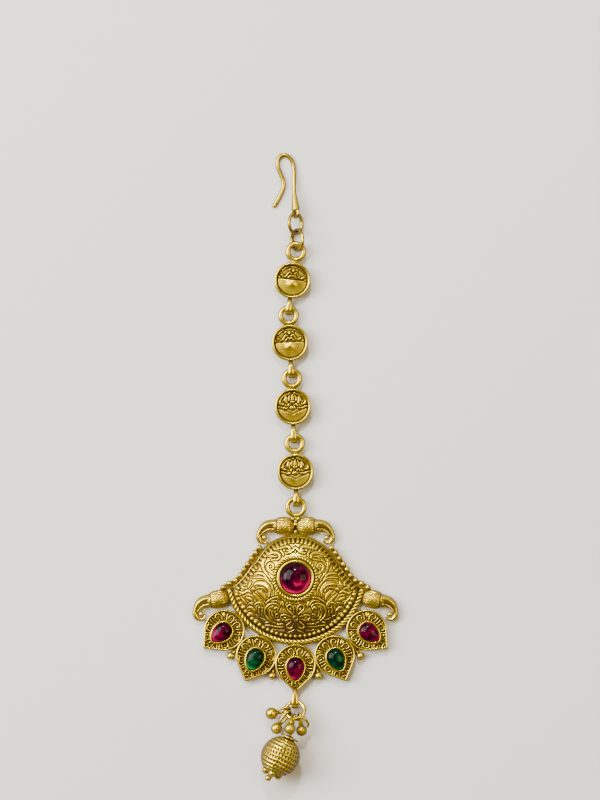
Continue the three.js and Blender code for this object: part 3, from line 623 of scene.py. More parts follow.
def makePlate():
    size = borderSize
    crown = circle(size["plateCrown"], np.radians(np.linspace(90, 42, 24))) + (0, domeSize["crownY"])
    skirt = circle(size["plateRadius"], np.radians(np.linspace(-17, -90, 70)))
    plate = slab(bothSides(np.vstack([crown, ledge, skirt]))[::-1], 0.02, size["plateTop"])
    shade = np.where(plate[0][:, 2] > size["plateTop"] - 0.02, 0.3, 0.9)  # dark patina on top of the ledge
    addPiece("backPlate", plate, castGold, relief=shade, smoothTo=35)


def twisted(route, strands, lay, twists, strand, sides=8, closed=False):
    # Strands wound round a route.
    across, rise = pathFrame(route, (0, 0, 1), closed)
    turn = np.linspace(0, 2 * math.pi * twists / strands, len(route), endpoint=not closed)
    shapes = []
    for k in range(strands):
        phase = turn + 2 * math.pi * k / strands
        wound = route + lay * (np.cos(phase)[:, None] * across + np.sin(phase)[:, None] * rise)
        shapes.append(sweep(wound, strand, sides, closed))
    return shapes


def makeRope():
    size = borderSize
    angle = np.radians(-90 + np.linspace(-size["ropeEnd"], size["ropeEnd"], 420))
    route = atHeight(circle(size["ropeRadius"], angle), size["plateTop"] + 0.32)
    shapes = twisted(route, size["strands"], size["lay"], -size["twists"], size["strand"])
    ends = [ball(size["ropeBall"], end, 16, 10) for end in (route[0], route[-1])]
    addPiece("ropeBorder", joined(shapes + ends), castGold)


def makeGranules():
    size = borderSize
    shapes = []
    shade = []
    for x, y in edgeBeads:
        for side in (1, -1):
            shapes.append(ball(size["edgeBead"], (side * x, y, size["plateTop"] + 0.36), 18, 12))
            shade.append(np.full(len(shapes[-1][0]), 0.9))
    for angle in np.radians(np.linspace(-71, 71, size["beads"])):
        x, y = size["beadRow"] * math.sin(angle), -size["beadRow"] * math.cos(angle)
        radius = size["beadRadius"] - 0.14 * math.cos(angle) ** 4
        shapes.append(ball(radius, (x, y, float(domeHeight(x, y)) - 0.02), 14, 9, 0.85))
        shade.append(np.full(len(shapes[-1][0]), 0.62 - 0.22 * math.cos(angle) ** 3))
    addPiece("granules", joined(shapes), castGold, relief=np.concatenate(shade))

    ring = circle(size["milgrainRadius"], roundTurn(516)) + (0, stoneY)
    route = np.column_stack([ring, domeHeight(*ring.T) + 0.22])
    strand = size["milgrainStrand"]
    shapes = twisted(route, 2, strand, -size["milgrainTwists"], strand, 7, closed=True)
    addPiece("milgrainRing", joined(shapes), castGold)


makePlate()
makeRope()
makeGranules()
print("borders done")


# Centre setting and the cabochons.

centreSize = {
    "stone": 3.55, "girdle": 0.7, "rise": 1.85, "bezelIn": 3.62, "bezelOut": 4.36, "bezelTop": 5.52,
}
pearSize = {
    "circle": 20.78, "radius": 4.66, "tip": 6.4, "plate": 1.15, "rim": 2.05, "stoneY": -0.28,
    "bezelTop": 2.62, "seat": 1.9, "girdle": 0.45, "rise": 1.2,
    "ground": 1.45, "bandRise": 0.42, "groove": 0.12, "grooveWidth": 0.08,
    "angles": [-51.8, -25.7, 0.0, 25.7, 51.8], "turns": [-49.5, -24.3, 0.0, 24.3, 49.5],
}
# Strength of the light inside each pear stone, and how bright its ground is.
pearGlow = [(0.42, 0.16), (0.6, 0.1), (0.46, 0.14), (0.42, 0.05), (0.46, 0.12)]
tipBalls = {"circle": 24, "radius": 0.92, "height": 1.1, "angles": [-38.5, -12.9, 12.9, 38.5]}


def makeCentreSetting():
    inner, outer, top = centreSize["bezelIn"], centreSize["bezelOut"], centreSize["bezelTop"]
    profile = [
        (4.62, 3.9), (4.56, 4.55), (outer, 4.95), (outer - 0.02, 5.3), (outer - 0.14, top),
        (4.0, top + 0.05), (inner + 0.14, top + 0.02), (inner, top - 0.16), (inner + 0.02, 4.9),
        (inner, 4.45), (0.0, 4.4),
    ]
    addPiece("centreSetting", moved(lathe(profile, 120), (0, stoneY, 0)), wireGold)


def cabochon(outline, middle, low, girdle, rise, rings=26):
    # A domed top over a short upright girdle.
    levels = [(0.0, low), (0.9, low), (0.985, low + 0.1), (1.0, low + 0.3), (1.0, low + girdle)]
    for angle in np.linspace(0, math.pi / 2, rings)[1:-1]:
        levels.append((math.cos(angle), low + girdle + rise * math.sin(angle)))
    levels.append((0.0, low + girdle + rise))
    rows = [atHeight(middle + (outline - middle) * scale, z) for scale, z in levels]
    return np.vstack(rows), gridFaces(len(rows), len(outline), poles=(0, len(rows) - 1))


def glowOf(points, middle, reach, towards, strength, floor=0.05):
    # Light gathers opposite the lamp, in a crescent near the girdle and a pool further in.
    x = (points[:, 0] - middle[0]) / reach
    y = (points[:, 1] - middle[1]) / reach
    c, s = math.cos(towards), math.sin(towards)
    away = np.hypot(x, y)
    facing = (x * c + y * s) / (away + 1e-6)
    crescent = np.exp(-(((away - 0.93) / 0.16) ** 2)) * np.clip(0.5 + 0.75 * facing, 0, 1)
    pool = np.exp(-(((x - 0.38 * c) / 0.42) ** 2 + ((y - 0.38 * s) / 0.26) ** 2))
    return np.clip(floor + strength * (0.95 * crescent + 0.62 * pool), 0, 1)


def makeStones():
    size = centreSize
    middle = np.array([0, stoneY])
    outline = circle(size["stone"], roundTurn(96)) + middle
    stone = cabochon(outline, middle, stoneSeat, size["girdle"], size["rise"])
    glow = glowOf(stone[0], middle, size["stone"], math.radians(-62), 1.0)
    addPiece("centreCabochon", stone, rubyStone, ["centre_stone"], glow=glow)
    size = pearSize
    for i, (strength, ground) in enumerate(pearGlow):
        stone = cabochon(eggOutline(), np.array([0, -0.6]), size["seat"], size["girdle"], size["rise"], 20)
        glow = glowOf(stone[0] * (1, 0.85, 1), (0, -0.5), 2.3, math.radians(-80 + 14 * i), strength, ground)
        material, slot = (emeraldStone, "green_stone") if i % 2 else (rubyStone, "red_stone")
        number = str(i + 1)
        addPiece("pearCabochon" + number, atPear(stone, i), material, ["pear_stone_" + number],
                 glow=glow)


def atPear(shape, i):
    angle = math.radians(pearSize["angles"][i])
    to = (pearSize["circle"] * math.sin(angle), -pearSize["circle"] * math.cos(angle), 0)
    return moved(shape, to, math.radians(pearSize["turns"][i]))


eggRoute = [(0, 1.9), (1.2, 1.55), (1.9, 0.55), (2.0, -0.5), (1.7, -1.65), (1.15, -2.6), (0.5, -3.2),
            (0, -3.38)]


def eggOutline(grow=0.0, count=96):
    # The stone's outline, counter-clockwise; grow moves it outwards.
    loop = curveThrough(bothSides(np.array(eggRoute))[::-1], count, closed=True)
    ahead = unit(np.roll(loop, -1, 0) - np.roll(loop, 1, 0))
    return loop + grow * np.stack([ahead[:, 1], -ahead[:, 0]], axis=1) + (0, pearSize["stoneY"])


# Right half of the band round a pear stone: scrolls, wedges and bars. The left half mirrors them.
pearStrokes = [
    ([(0.4, 2.05), (0.36, 2.6), (0.48, 3.25), (0.95, 3.62), (1.48, 3.4), (1.62, 2.95), (1.38, 2.62)], [0.36,
     0.4, 0.44, 0.44, 0.42, 0.44, 0.5]),
    ([(0, 3.75), (0, 3.1)], [0.4, 0.2]),
    ([(1.45, 1.85), (1.95, 2.45), (2.35, 3.05)], [0.36, 0.38, 0.4]),
    ([(2.35, 1.95), (2.75, 2.3), (3, 2.55)], [0.45, 0.75, 0.6]),
    ([(2.95, 1.95), (3.35, 2.15)], [0.5, 0.4]),
    ([(2.25, 1.2), (2.7, 1.48), (3.35, 1.52), (3.84, 1.22), (3.88, 0.65), (3.55, 0.3), (3.15, 0.42)], [0.42,
     0.42, 0.44, 0.44, 0.42, 0.44, 0.5]),
    ([(2.4, 0.6), (2.75, 0.72)], [0.36, 0.3]),
    ([(2.45, -0.1), (3.1, -0.22), (3.85, -0.25)], [0.4, 0.36, 0.42]),
    ([(2.45, -0.75), (3.1, -0.92), (3.8, -0.95)], [0.4, 0.36, 0.42]),
    ([(2.3, -1.35), (2.95, -1.5), (3.35, -1.95), (3.2, -2.55), (2.7, -2.95), (2.2, -2.7)], [0.38, 0.38, 0.4,
     0.4, 0.4, 0.46]),
    ([(2.62, -2.12), (2.7, -2.2)], [0.3]),
    ([(3.6, -1.75), (3.7, -1.6)], [0.36]),
    ([(1.75, -2.95), (2.1, -3.4), (2.45, -3.75)], [0.36, 0.36, 0.4]),
    ([(1.3, -3.4), (1.75, -3.75), (2, -4.2), (1.7, -4.55), (1.25, -4.35)], [0.34, 0.36, 0.38, 0.38, 0.44]),
    ([(0.75, -3.85), (0.8, -4.3), (0.95, -4.85)], [0.34, 0.32, 0.36]),
    ([(0, -4.25), (0, -4.4)], [0.55]),
    ([(0.62, -5.25), (0, -4.98)], [0.34, 0.3]),
]


def pearBand():
    # The relief between bezel and rim, on a dark ground.
    size = pearSize
    around, outward = 420, 26
    middle = (0.0, -0.8)
    angle = np.linspace(-math.pi, math.pi, around, endpoint=False)
    inner = radiusAround(eggOutline(0.3), middle)(angle)
    outer = radiusAround(pearOutline(size["radius"] - 0.3, size["tip"] - 0.42, 400), middle)(angle)
    reach = inner + (outer - inner) * np.linspace(0, 1, outward)[:, None]
    x = middle[0] + reach * np.cos(angle)
    y = middle[1] + reach * np.sin(angle)
    lift = carve(x, y, pearStrokes, size["bandRise"], size["groove"], size["grooveWidth"])
    points = np.stack([x, y, size["ground"] + lift], axis=-1).reshape(-1, 3)
    shade = np.clip((lift + 0.02) / 0.34, 0, 1) * 0.8 + 0.2
    return (points, gridFaces(outward, around)), shade.ravel()


# Sections of the rim and of the stone's bezel: outwards, upwards.
rimSection = [(-0.2, -0.95), (0.24, -0.95), (0.25, -0.1), (0.18, 0.08), (0.02, 0.14), (-0.12, 0.1),
              (-0.2, -0.05)]
bezelSection = [(-0.2, -1.3), (0.24, -1.3), (0.22, -0.4), (0.14, -0.08), (0.0, 0.04), (-0.12, 0.02),
                (-0.19, -0.1)]


def makePearSettings():
    size = pearSize
    relief, shade = pearBand()
    rim = atHeight(pearOutline(size["radius"] - 0.2, size["tip"] - 0.28, 160), size["rim"] - 0.1)
    bezel = atHeight(eggOutline(0.2, 120), size["bezelTop"] - 0.08)
    shapes = [slab(pearOutline(size["radius"] + 0.06, size["tip"] + 0.08, 140), 0.03, size["plate"]),
              sweep(rim, 1.0, closed=True, section=rimSection),
              sweep(bezel, 1.0, closed=True, section=bezelSection)]
    shapes += [ball(0.12, (x, y, 2.1), 8, 6) for x, y in eggOutline(0.42, 46)]
    rest = joined(shapes)
    shade = np.r_[shade, np.ones(len(rest[0]))]
    setting = joined([relief, rest])
    for i in range(5):
        addPiece("pearSetting" + str(i + 1), atPear(setting, i), castGold, relief=shade)
    size = tipBalls
    shapes = []
    for angle in np.radians(size["angles"]):
        x, y = math.sin(angle), -math.cos(angle)
        centre = (size["circle"] * x, size["circle"] * y, size["height"])
        shapes.append(ball(size["radius"], centre, 28, 18))
        stem = [(out * x, out * y, z) for out, z in ((21.2, 0.5), (22.4, 0.5), (23.7, 0.7))]
        shapes.append(sweep(curveThrough(stem, 8), 0.4, 12))
    addPiece("tipBalls", joined(shapes), wireGold)


makeCentreSetting()
makeStones()
makePearSettings()
print("settings and stones done")


# Birds: a barrel body with feather lines, and a fluted neck that curls round a small ball.

birdSize = {
    "halfLength": 2.72, "radius": 2.06, "height": 1.2, "flat": 0.9, "feathers": 20, "featherDepth": 0.085,
    "studRow": 0.78, "studPitch": 0.5, "studDepth": 0.1, "collar": 2.0, "collarGroove": 1.62,
    "neckHeight": 1.15, "under": 0.03, "top": (2.75, 11.08, 0.0), "side": (17.85, -5.76, -10.7),
}
neckRoute = [(1.7, 0.05), (2.7, 0.1), (3.9, -0.12), (5.0, -1.0), (5.66, -2.15), (5.62, -3.1), (5.05, -3.8),
             (4.25, -3.8), (3.7, -3.4), (3.58, -2.9)]
neckWidth = [1.45, 1.42, 1.32, 1.12, 0.84, 0.7, 0.6, 0.44, 0.34, 0.26]
# Flutes on the inner side of the neck: place across it, width and depth.
flutes = [(-0.04, 0.14, 0.28), (0.42, 0.14, 0.34), (0.8, 0.11, 0.28)]


def birdBody():
    size = birdSize
    steps, around = 84, 104
    x = size["halfLength"] * np.sin(np.linspace(-1, 1, steps) * math.pi / 2)
    radius = size["radius"] * np.clip(1 - np.abs(x / size["halfLength"]) ** 2.5, 0, 1) ** 0.5
    gx, ga = np.meshgrid(x, roundTurn(around), indexing="ij")
    taper = np.clip(1 - np.abs(gx / size["halfLength"]) ** 4, 0, 1)
    wave = 0.9 * np.sin(2.1 * gx + 0.6) + 0.25 * np.sin(5 * gx)
    lift = size["featherDepth"] * np.cos(size["feathers"] * ga + wave)
    side = np.sin(ga) * size["radius"]  # sideways place of each point, 0 along the spine
    middle = np.exp(-((gx / 1.15) ** 4)) * np.exp(-(((np.abs(side) - 0.25) / 0.75) ** 4))
    pitch = size["studPitch"]
    studs = np.cos(gx * 2 * math.pi / size["studRow"] + (np.round(side / pitch) % 2) * math.pi)
    studs *= np.cos(side * 2 * math.pi / pitch)
    lift = lift * (1 - middle) + middle * size["studDepth"] * studs
    collar = np.exp(-(((gx - size["collar"]) / 0.17) ** 2))
    collar -= np.exp(-(((gx - size["collarGroove"]) / 0.13) ** 2))
    lift = lift * (1 - np.exp(-(((gx - 1.9) / 0.45) ** 4))) + 0.13 * collar
    lift = (lift - 0.07 * np.exp(-(((gx + 1.75) / 0.12) ** 2))) * taper  # with a groove at the shoulder
    r = radius[:, None] + lift
    z = np.maximum(size["height"] + size["flat"] * r * np.cos(ga), size["under"])
    points = np.stack([gx, r * np.sin(ga), z], axis=-1).reshape(-1, 3)
    return (points, gridFaces(steps, around, poles=(0, steps - 1))), np.clip(0.5 + 4.6 * lift, 0, 1).ravel()


def birdNeck():
    steps, sides = 90, 36
    route = curveThrough([(x, y, birdSize["neckHeight"]) for x, y in neckRoute], steps)
    t = np.linspace(0, 1, steps)
    width = np.interp(t, np.linspace(0, 1, len(neckWidth)), neckWidth)
    angle = roundTurn(sides)
    strong = np.clip(t / 0.1, 0, 1) * np.clip((0.78 - t) / 0.3, 0, 1)
    depth = np.zeros((steps, sides))
    for place, wide, deep in flutes:
        flute = deep * np.exp(-(((np.cos(angle) - place) / wide) ** 2)) * (np.sin(angle) > -0.2)
        depth += flute * strong[:, None]
    close = roundEnds(steps, 1.0, blunt=3)
    close[:3] = 1
    points, faces = sweep(route, width[:, None] * (1 - depth) * close[:, None], sides)
    points[:, 2] = np.maximum(points[:, 2], birdSize["under"])
    return (points, faces), np.clip(0.95 - 4.2 * depth, 0, 1).ravel()


def makeBirds():
    body, bodyShade = birdBody()
    neck, neckShade = birdNeck()
    head = joined([ball(0.62, (4.42, -2.66, 1.45), 28, 18), ball(0.28, (3.35, -1.75, 1.2), 12, 8)])
    whole = joined([body, neck, head])
    shade = np.r_[bodyShade, neckShade, np.ones(len(head[0]))]
    for place in ("top", "side"):
        x, y, turn = birdSize[place]
        for word in ("Right", "Left"):
            bird = moved(whole, (x, y, 0), math.radians(turn), flip=word == "Left")
            addPiece(place + "Bird" + word, bird, castGold, relief=shade)


topRing = {"x": 0.09, "y": 15.41, "radius": 1.93, "wire": 0.58}
chainLevel = 1.62


def makeFittings():
    web = slab([(-2.5, 8.4), (2.5, 8.4), (2.5, 12.0), (-2.5, 12.0)], 0.02, 1.2, 0.15)
    ring = torus(topRing["radius"], topRing["wire"], 96, 20)
    ring = moved(ring, (topRing["x"], topRing["y"], chainLevel))
    stem = sweep(curveThrough([(0.05, 11.4, 1.4), (0.05, 12.6, 1.5), (0.08, 13.5, 1.6)], 10),
                 np.linspace(0.75, 0.5, 10), 14)
    granules = [ball(0.5, (0.62, 12.75, 2.1), 20, 12), ball(0.5, (-0.62, 12.75, 2.1), 20, 12),
                ball(0.46, (0.05, 12.2, 2.2), 20, 12), ball(0.5, (0, 9.75, 1.5), 16, 10)]
    plain = joined([web, ring, stem] + granules)
    strap = strapEye(1.8, 0.9, 0.62, 1.6, (-0.15, -28.5, chainLevel))
    fold = np.clip(0.3 + 0.28 * (-27.2 - strap[0][:, 1]), 0.3, 1)  # dark at its top
    addPiece("fittings", joined([plain, strap]), wireGold, relief=np.r_[np.ones(len(plain[0])), fold])


def strapEye(halfLength, halfHeight, band, width, to, neck=0.7):
    # A folded strap: a rounded band round a long eye, narrower and lower at its upper end.
    route = stadium(halfLength + band / 2, halfHeight + band / 2, 64)
    ring = circle(1, roundTurn(18))[:, ::-1]
    section = 0.5 * np.sign(ring) * np.abs(ring) ** 0.8 * (band, width)
    points, faces = sweep(route, 1.0, closed=True, section=section, up=(1, 0, 0))
    along = np.clip(0.5 + 0.5 * points[:, 1] / (halfLength + band), 0, 1)
    points[:, 0] *= 1 - (1 - neck) * along**1.2
    points[:, 2] *= 1 - 0.3 * along**2
    return moved((points, faces), to)


makeBirds()
makeFittings()
print("birds and fittings done")


# Chain: four medallions.

linkSize = {
    "disc": 4.15, "rimTop": 1.0, "floor": 0.22, "face": 3.6, "ring": 1.8, "wire": 0.62, "bailWidth": 1.5,
    "band": 0.62, "halfHeight": 0.9, "around": 200, "outward": 64, "rise": 0.4, "groove": 0.14,
    "grooveWidth": 0.12, "bolder": 1.3, "bowl": 0.16, "boss": 0.26, "brushed": 0.016,
}
linkPlaces = [
    {"x": -0.74, "y": 67.53, "lean": 7.1, "ringAt": 6.6},
    {"x": -1.31, "y": 53.2, "lean": -2.9, "ringAt": 6.25},
    {"x": -0.64, "y": 38.5, "lean": -1.7, "ringAt": 6.45},
    {"x": -0.02, "y": 23.53, "lean": -1.7, "ringAt": 6.5},
]
# Right halves of the two medallion patterns; the left halves mirror them.
curlPattern = {
    "strokes": [
        ([(1.2, 2.95), (2, 2.55), (2.6, 1.95)], [0.3, 0.46, 0.3]),
        ([(0.35, 1.5), (0.8, 1.72), (1.25, 1.25), (1.6, 0.7), (2.1, 0.62), (2.55, 0.98)], [0.36, 0.46, 0.46,
         0.46, 0.44, 0.5]),
        ([(0, 0.9), (0.5, 1), (0.95, 0.5)], [0.46, 0.42, 0.4]),
        ([(0, 2.6), (0, 2.1)], [0.3, 0.44], 0.7),
        ([(0.75, 2.6), (0.95, 2.3)], [0.3, 0.4], 0.7),
        ([(3.35, 0.5), (2.9, 0.25), (2.3, 0.2)], [0.3, 0.44, 0.3]),
    ],
    "border": (0.12, 0.0, 0.1), "ground": 1.3,
}
flowerPattern = {
    "strokes": [
        ([(0.35, 3.15), (1.3, 2.8), (2.3, 2.4), (2.85, 1.75), (3, 1.05), (2.65, 0.6), (2.1, 0.62)], [0.3,
         0.46, 0.56, 0.6, 0.6, 0.56, 0.4]),
        ([(0, 2.7), (0.12, 2.1), (0.2, 1.5)], [0.3, 0.46, 0.3]),
        ([(0.62, 2.45), (0.85, 1.95), (0.8, 1.4)], [0.36, 0.52, 0.4]),
        ([(1.5, 2.15), (1.6, 1.5), (1.35, 0.95)], [0.5, 0.8, 0.5]),
        ([(0, 1), (0.3, 1.1)], [0.66, 0.5]),
        ([(0.35, 0.35), (0.85, 0.65), (1, 0.2)], [0.3, 0.4, 0.3], 0.8),
        ([(3.3, 0.1), (2.6, -0.22), (1.9, -0.4), (1.2, -0.3)], [0.36, 0.6, 0.62, 0.4]),
        ([(0, -0.35), (0.4, -0.3)], [0.9, 0.6], 0.6),
    ],
    "border": (-1.7, 1.5, 0.0), "ground": 1.4,
}


def medallion(pattern):
    size = linkSize
    around, outward = size["around"], size["outward"]
    angle = roundTurn(around)
    reach = np.linspace(0, size["face"], outward)[:, None]
    x = reach * np.cos(angle)
    y = reach * np.sin(angle)
    strokes = bolder(pattern["strokes"], size["bolder"])
    lift = carve(x, y, strokes, size["rise"], size["groove"], size["grooveWidth"])
    # The smooth swelling bowl lies under a border that sags to a point, or runs straight.
    middle, slope, bulge = pattern["border"]
    border = middle + slope * np.clip(np.abs(x) / 3.4, 0, 1) ** 0.9 + bulge * (1 - (x / 3.4) ** 2)
    below = np.clip(0.5 + (border - y) / 0.3, 0, 1)
    below = below * below * (3 - 2 * below)
    tall = np.where(y > -1.2, 2.78, 2.3)
    bowl = size["bowl"] * np.clip(1 - (x / 3.3) ** 2 - ((y + 1.2) / tall) ** 2, 0, 1) ** 0.9
    bowl += size["boss"] * np.exp(-((x / 0.9) ** 2) - ((y + 0.72) / 0.7) ** 2)
    brushed = size["brushed"] * np.sin((y + 0.12 * x) * 2 * math.pi / 0.34) * np.sin(x * 1.7 + y)
    slit = 0.2 * np.exp(-(((reach - 3.42) / 0.1) ** 2))
    edge = np.exp(-(((y - border) / 0.15) ** 2))
    z = size["floor"] + lift * (1 - below) + (bowl + brushed) * below - slit - 0.12 * edge
    shade = np.clip((lift + size["groove"]) / (size["rise"] + size["groove"]), 0, 1)
    shade = np.where(lift < 0.05, shade * pattern["ground"], shade + 0.2)
    shade = shade * (1 - below) + below * np.clip(0.42 + 1.2 * bowl, 0, 1)
    shade = np.clip(shade * (1 - 0.75 * edge) - 2 * slit, 0, 1)
    face = np.stack([x, y, z], axis=-1).reshape(-1, 3), gridFaces(outward, around, poles=(0,))
    rim = [(3.5, size["floor"] - 0.2), (3.52, 0.6), (3.6, 0.86), (3.75, 0.98), (3.92, size["rimTop"]),
           (4.08, 0.93), (4.18, 0.78), (4.2, 0.55), (4.18, -0.55), (4.0, -0.78), (3.6, -0.85), (0.0, -0.88)]
    rim = lathe(rim[::-1], 96)
    return joined([face, rim]), np.r_[shade.ravel(), np.where(rim[0][:, 2] < size["floor"], 0.7, 1.0)]


def makeChain():
    size = linkSize
    for i, link in enumerate(linkPlaces):
        disc, discShade = medallion(curlPattern if i < 2 else flowerPattern)
        toX, toY = topRing["x"], topRing["y"]
        if i + 1 < len(linkPlaces):
            below = linkPlaces[i + 1]
            lean = math.radians(below["lean"])
            toX = below["x"] + below["ringAt"] * math.sin(lean)
            toY = below["y"] + below["ringAt"] * math.cos(lean)
        reach = math.hypot(toX - link["x"], toY - link["y"])
        holeEnd = reach - (size["ring"] - size["wire"]) + 0.5
        holeStart = size["disc"] + 0.55
        ring = moved(torus(size["ring"], size["wire"], 72, 16), (0, link["ringAt"], 0))
        eye = strapEye((holeEnd - holeStart) / 2, size["halfHeight"], size["band"], size["bailWidth"],
                       (0, -(holeEnd + holeStart) / 2, 0))
        solder = ball(0.6, (0, size["disc"] + 0.25, 0.05), 20, 12, 0.75)
        solder[0][:, 0] *= 1.5
        # The eye is dark where it leaves the disc.
        fold = np.clip(0.3 + 0.55 * (-size["disc"] - 0.9 - eye[0][:, 1]), 0.3, 1)
        shade = np.r_[discShade, np.full(len(ring[0]), 0.6), fold, np.full(len(solder[0]), 0.7)]
        whole = moved(joined([disc, ring, eye, solder]), (link["x"], link["y"], chainLevel),
                      -math.radians(link["lean"]))
        number = str(i + 1)
        addPiece("medallion" + number, whole, castGold, ["chain_link_" + number], relief=shade)


# Hook and jump rings.

hookSize = {
    "wire": 0.48, "eye": 0.95, "eyeWire": 0.38, "eyeAt": (0.05, 82.94, 2.2), "eyeTurn": 35, "bend": 4,
    "jumpRadius": 2.33, "jumpWire": 0.4, "jumpFoot": 0.38,
}
hookRoute = [
    (-0.1, 1.5), (-0.35, 4.2), (-0.39, 8.0), (-0.45, 10.4), (-0.9, 12.1), (-2.1, 13.3), (-3.3, 13.25),
    (-4.1, 12.2), (-4.1, 10.7), (-3.4, 8.85), (-2.85, 7.3), (-3.0, 5.6), (-4.1, 3.2), (-5.22, 1.36),
]
crimpRoute = [(0, 0.75, 2.1), (-0.12, 2, 1.95), (-0.33, 4.6, 1.5)]
jumpRings = [{"x": 0.0, "y": 80.59, "turn": 52}, {"x": 0.39, "y": 76.8, "turn": -57}]


def upright(shape, turn, to):
    # Turns a flat ring about Y.
    c, s = math.cos(turn), math.sin(turn)
    return based(shape, (c, 0, -s), (0, 1, 0), (s, 0, c), to)


def makeHook():
    size = hookSize
    eyeX, eyeY, eyeZ = size["eyeAt"]
    route = []
    for i, (x, y) in enumerate(hookRoute):
        lift = (1 - y / hookRoute[size["bend"] - 1][1]) * (eyeZ - size["wire"]) if i < size["bend"] else 0
        route.append((x, y, size["wire"] + lift))
    hook = sweep(curveThrough(route, 200), roundEnds(200, size["wire"], blunt=3), 14)
    winds = 0.035 * np.cos(np.linspace(0, 2 * math.pi * 7.5, 70))
    crimp = sweep(curveThrough(crimpRoute, 70), roundEnds(70, 1.0, 0.5, blunt=2) + winds, 20)
    eye = torus(size["eye"], size["eyeWire"], 48, 14)
    eye = upright(eye, math.pi / 2 + math.radians(size["eyeTurn"]), (0, 0, eyeZ))
    addPiece("hairHook", moved(joined([hook, crimp, eye]), (eyeX, eyeY, 0)), agedGold, ["hair_hook"])
    for i, ring in enumerate(jumpRings):
        turn = math.radians(ring["turn"])
        level = size["jumpRadius"] * math.sin(abs(turn)) + size["jumpFoot"]
        shape = torus(size["jumpRadius"], size["jumpWire"], 72, 14)
        shape = upright(shape, turn, (ring["x"], ring["y"], level))
        number = str(i + 1)
        addPiece("jumpRing" + number, shape, agedGold, ["hook_ring_" + number])


makeChain()
makeHook()
print("chain and hook done")


# The drop: ring, four balls on wire eyes, and the latticed bead.

dropSize = {
    "ring": 2.15, "wire": 0.45, "centre": (-0.12, -31.25, 2.5), "lean": 24.7, "pin": 0.22,
    "pinSeen": 0.3, "eyeRoom": 0.3, "wireShade": 0.5,
}
# The last number of each ball is how brightly it is painted: the third and fourth get painted shade, lying
# in the cluster's shadow.
ballDrops = [
    {"at": 175, "x": -5.52, "y": -31.97, "z": 2.3, "radius": 1.4, "stainAndPaintedShade": 1.0},
    {"at": 210, "x": -4.37, "y": -35.42, "z": 2.1, "radius": 1.31, "stainAndPaintedShade": 0.95},
    {"at": 246, "x": -1.25, "y": -35.35, "z": 6.2, "radius": 1.3, "stainAndPaintedShade": 0.45},
    {"at": 302, "x": 1.4, "y": -35.88, "z": 2.9, "radius": 1.27, "stainAndPaintedShade": 0.42},
]
# The long end of the third ball's wire, which lies over the ring and the fourth ball.
looseWire = [(-2.1, -35.1, 6.0), (-1.84, -34.2, 5.6), (-1.1, -33.4, 5.0), (0.1, -32.95, 4.5),
             (1.5, -32.85, 4.3), (2.4, -33.4, 4.0), (2.95, -34.4, 3.5), (2.6, -35.2, 3.1)]
beadSize = {
    "radius": 4.45, "halfLength": 4.5, "upBy": 0.2, "turn": -26, "centre": (-3.57, -41.86, 4.45),
    "rows": 14, "holes": 34, "dimple": 0.2, "hoop": 0.11, "eyeTurn": 16, "eye": (-0.8, 8.87, -1.06),
    "eyeHalf": 1.55, "stem": [(0, 4.95, 0), (-0.1, 6.3, -0.5), (-0.43, 7.6, -1.06)],
    "granule": 0.93, "tip": 0.74,
}
capProfile = [(0.0, 4.2), (1.5, 4.3), (1.25, 4.7), (2.05, 4.74), (2.2, 4.86), (2.2, 5.02), (2.05, 5.16),
              (1.2, 5.2), (0.7, 5.36), (0.0, 5.4)]
coreProfile = [(0.0, -5.2), (0.5, -5.15), (0.9, -4.0), (0.0, -3.9)]


def ringPoint(angle):
    size = dropSize
    a, lean = math.radians(angle), math.radians(size["lean"])
    across, along = size["ring"] * math.cos(a), size["ring"] * math.sin(a)
    return size["centre"] + np.array([across, along * math.cos(lean), -along * math.sin(lean)])


def wireEye(halfLength):
    # A long wire eye that passes round the drop ring.
    size = dropSize
    route = stadium(halfLength - size["pin"], size["wire"] + size["eyeRoom"] + size["pin"], 60)
    return sweep(route, size["pinSeen"], 12, closed=True, up=(1, 0, 0))


def makeDrops():
    size = dropSize
    lean = math.radians(size["lean"])
    c, s = math.cos(lean), math.sin(lean)
    ring = torus(size["ring"], size["wire"], 96, 18)
    ring = based(ring, (1, 0, 0), (0, c, -s), (0, s, c), size["centre"])
    addPiece("dropRing", ring, wireGold, ["drop_ring"])
    for i, drop in enumerate(ballDrops):
        centre = np.array([drop["x"], drop["y"], drop["z"]])
        axis = ringPoint(drop["at"]) - centre
        toRing = np.linalg.norm(axis)
        ahead = axis / toRing
        eyeEnd = toRing + size["wire"] + 2 * size["pin"] + 0.33
        eyeStart = 0.8 * drop["radius"]
        round = ball(drop["radius"], segments=40, rings=26)
        eye = moved(wireEye((eyeEnd - eyeStart) / 2), (0, (eyeEnd + eyeStart) / 2, 0))
        collar = based(torus(0.42, 0.2, 28, 10), (1, 0, 0), (0, 0, 1), (0, 1, 0),
                       (0, 0.96 * drop["radius"], 0))
        tangent = ringPoint(drop["at"] + 1) - ringPoint(drop["at"] - 1)
        tangent /= np.linalg.norm(tangent)
        square = tangent - np.dot(tangent, ahead) * ahead
        square /= np.linalg.norm(square)
        whole = based(joined([round, eye, collar]), square, ahead, np.cross(square, ahead), centre)
        # Painted shade: the wire eyes are darkened, as they lie in the cluster's shadow.
        shade = np.full(len(whole[0]), size["wireShade"])
        shade[:len(round[0])] = drop["stainAndPaintedShade"]
        if i == 2:
            tail = sweep(curveThrough(looseWire, 70), roundEnds(70, size["pinSeen"]), 12)
            whole = joined([whole, tail])
            # The loose wire is darkened with painted shade too.
            shade = np.r_[shade, np.full(len(tail[0]), 0.6)]
        number = str(i + 1)
        addPiece("ballDrop" + number, whole, castGold, ["ball_drop_" + number], relief=shade)


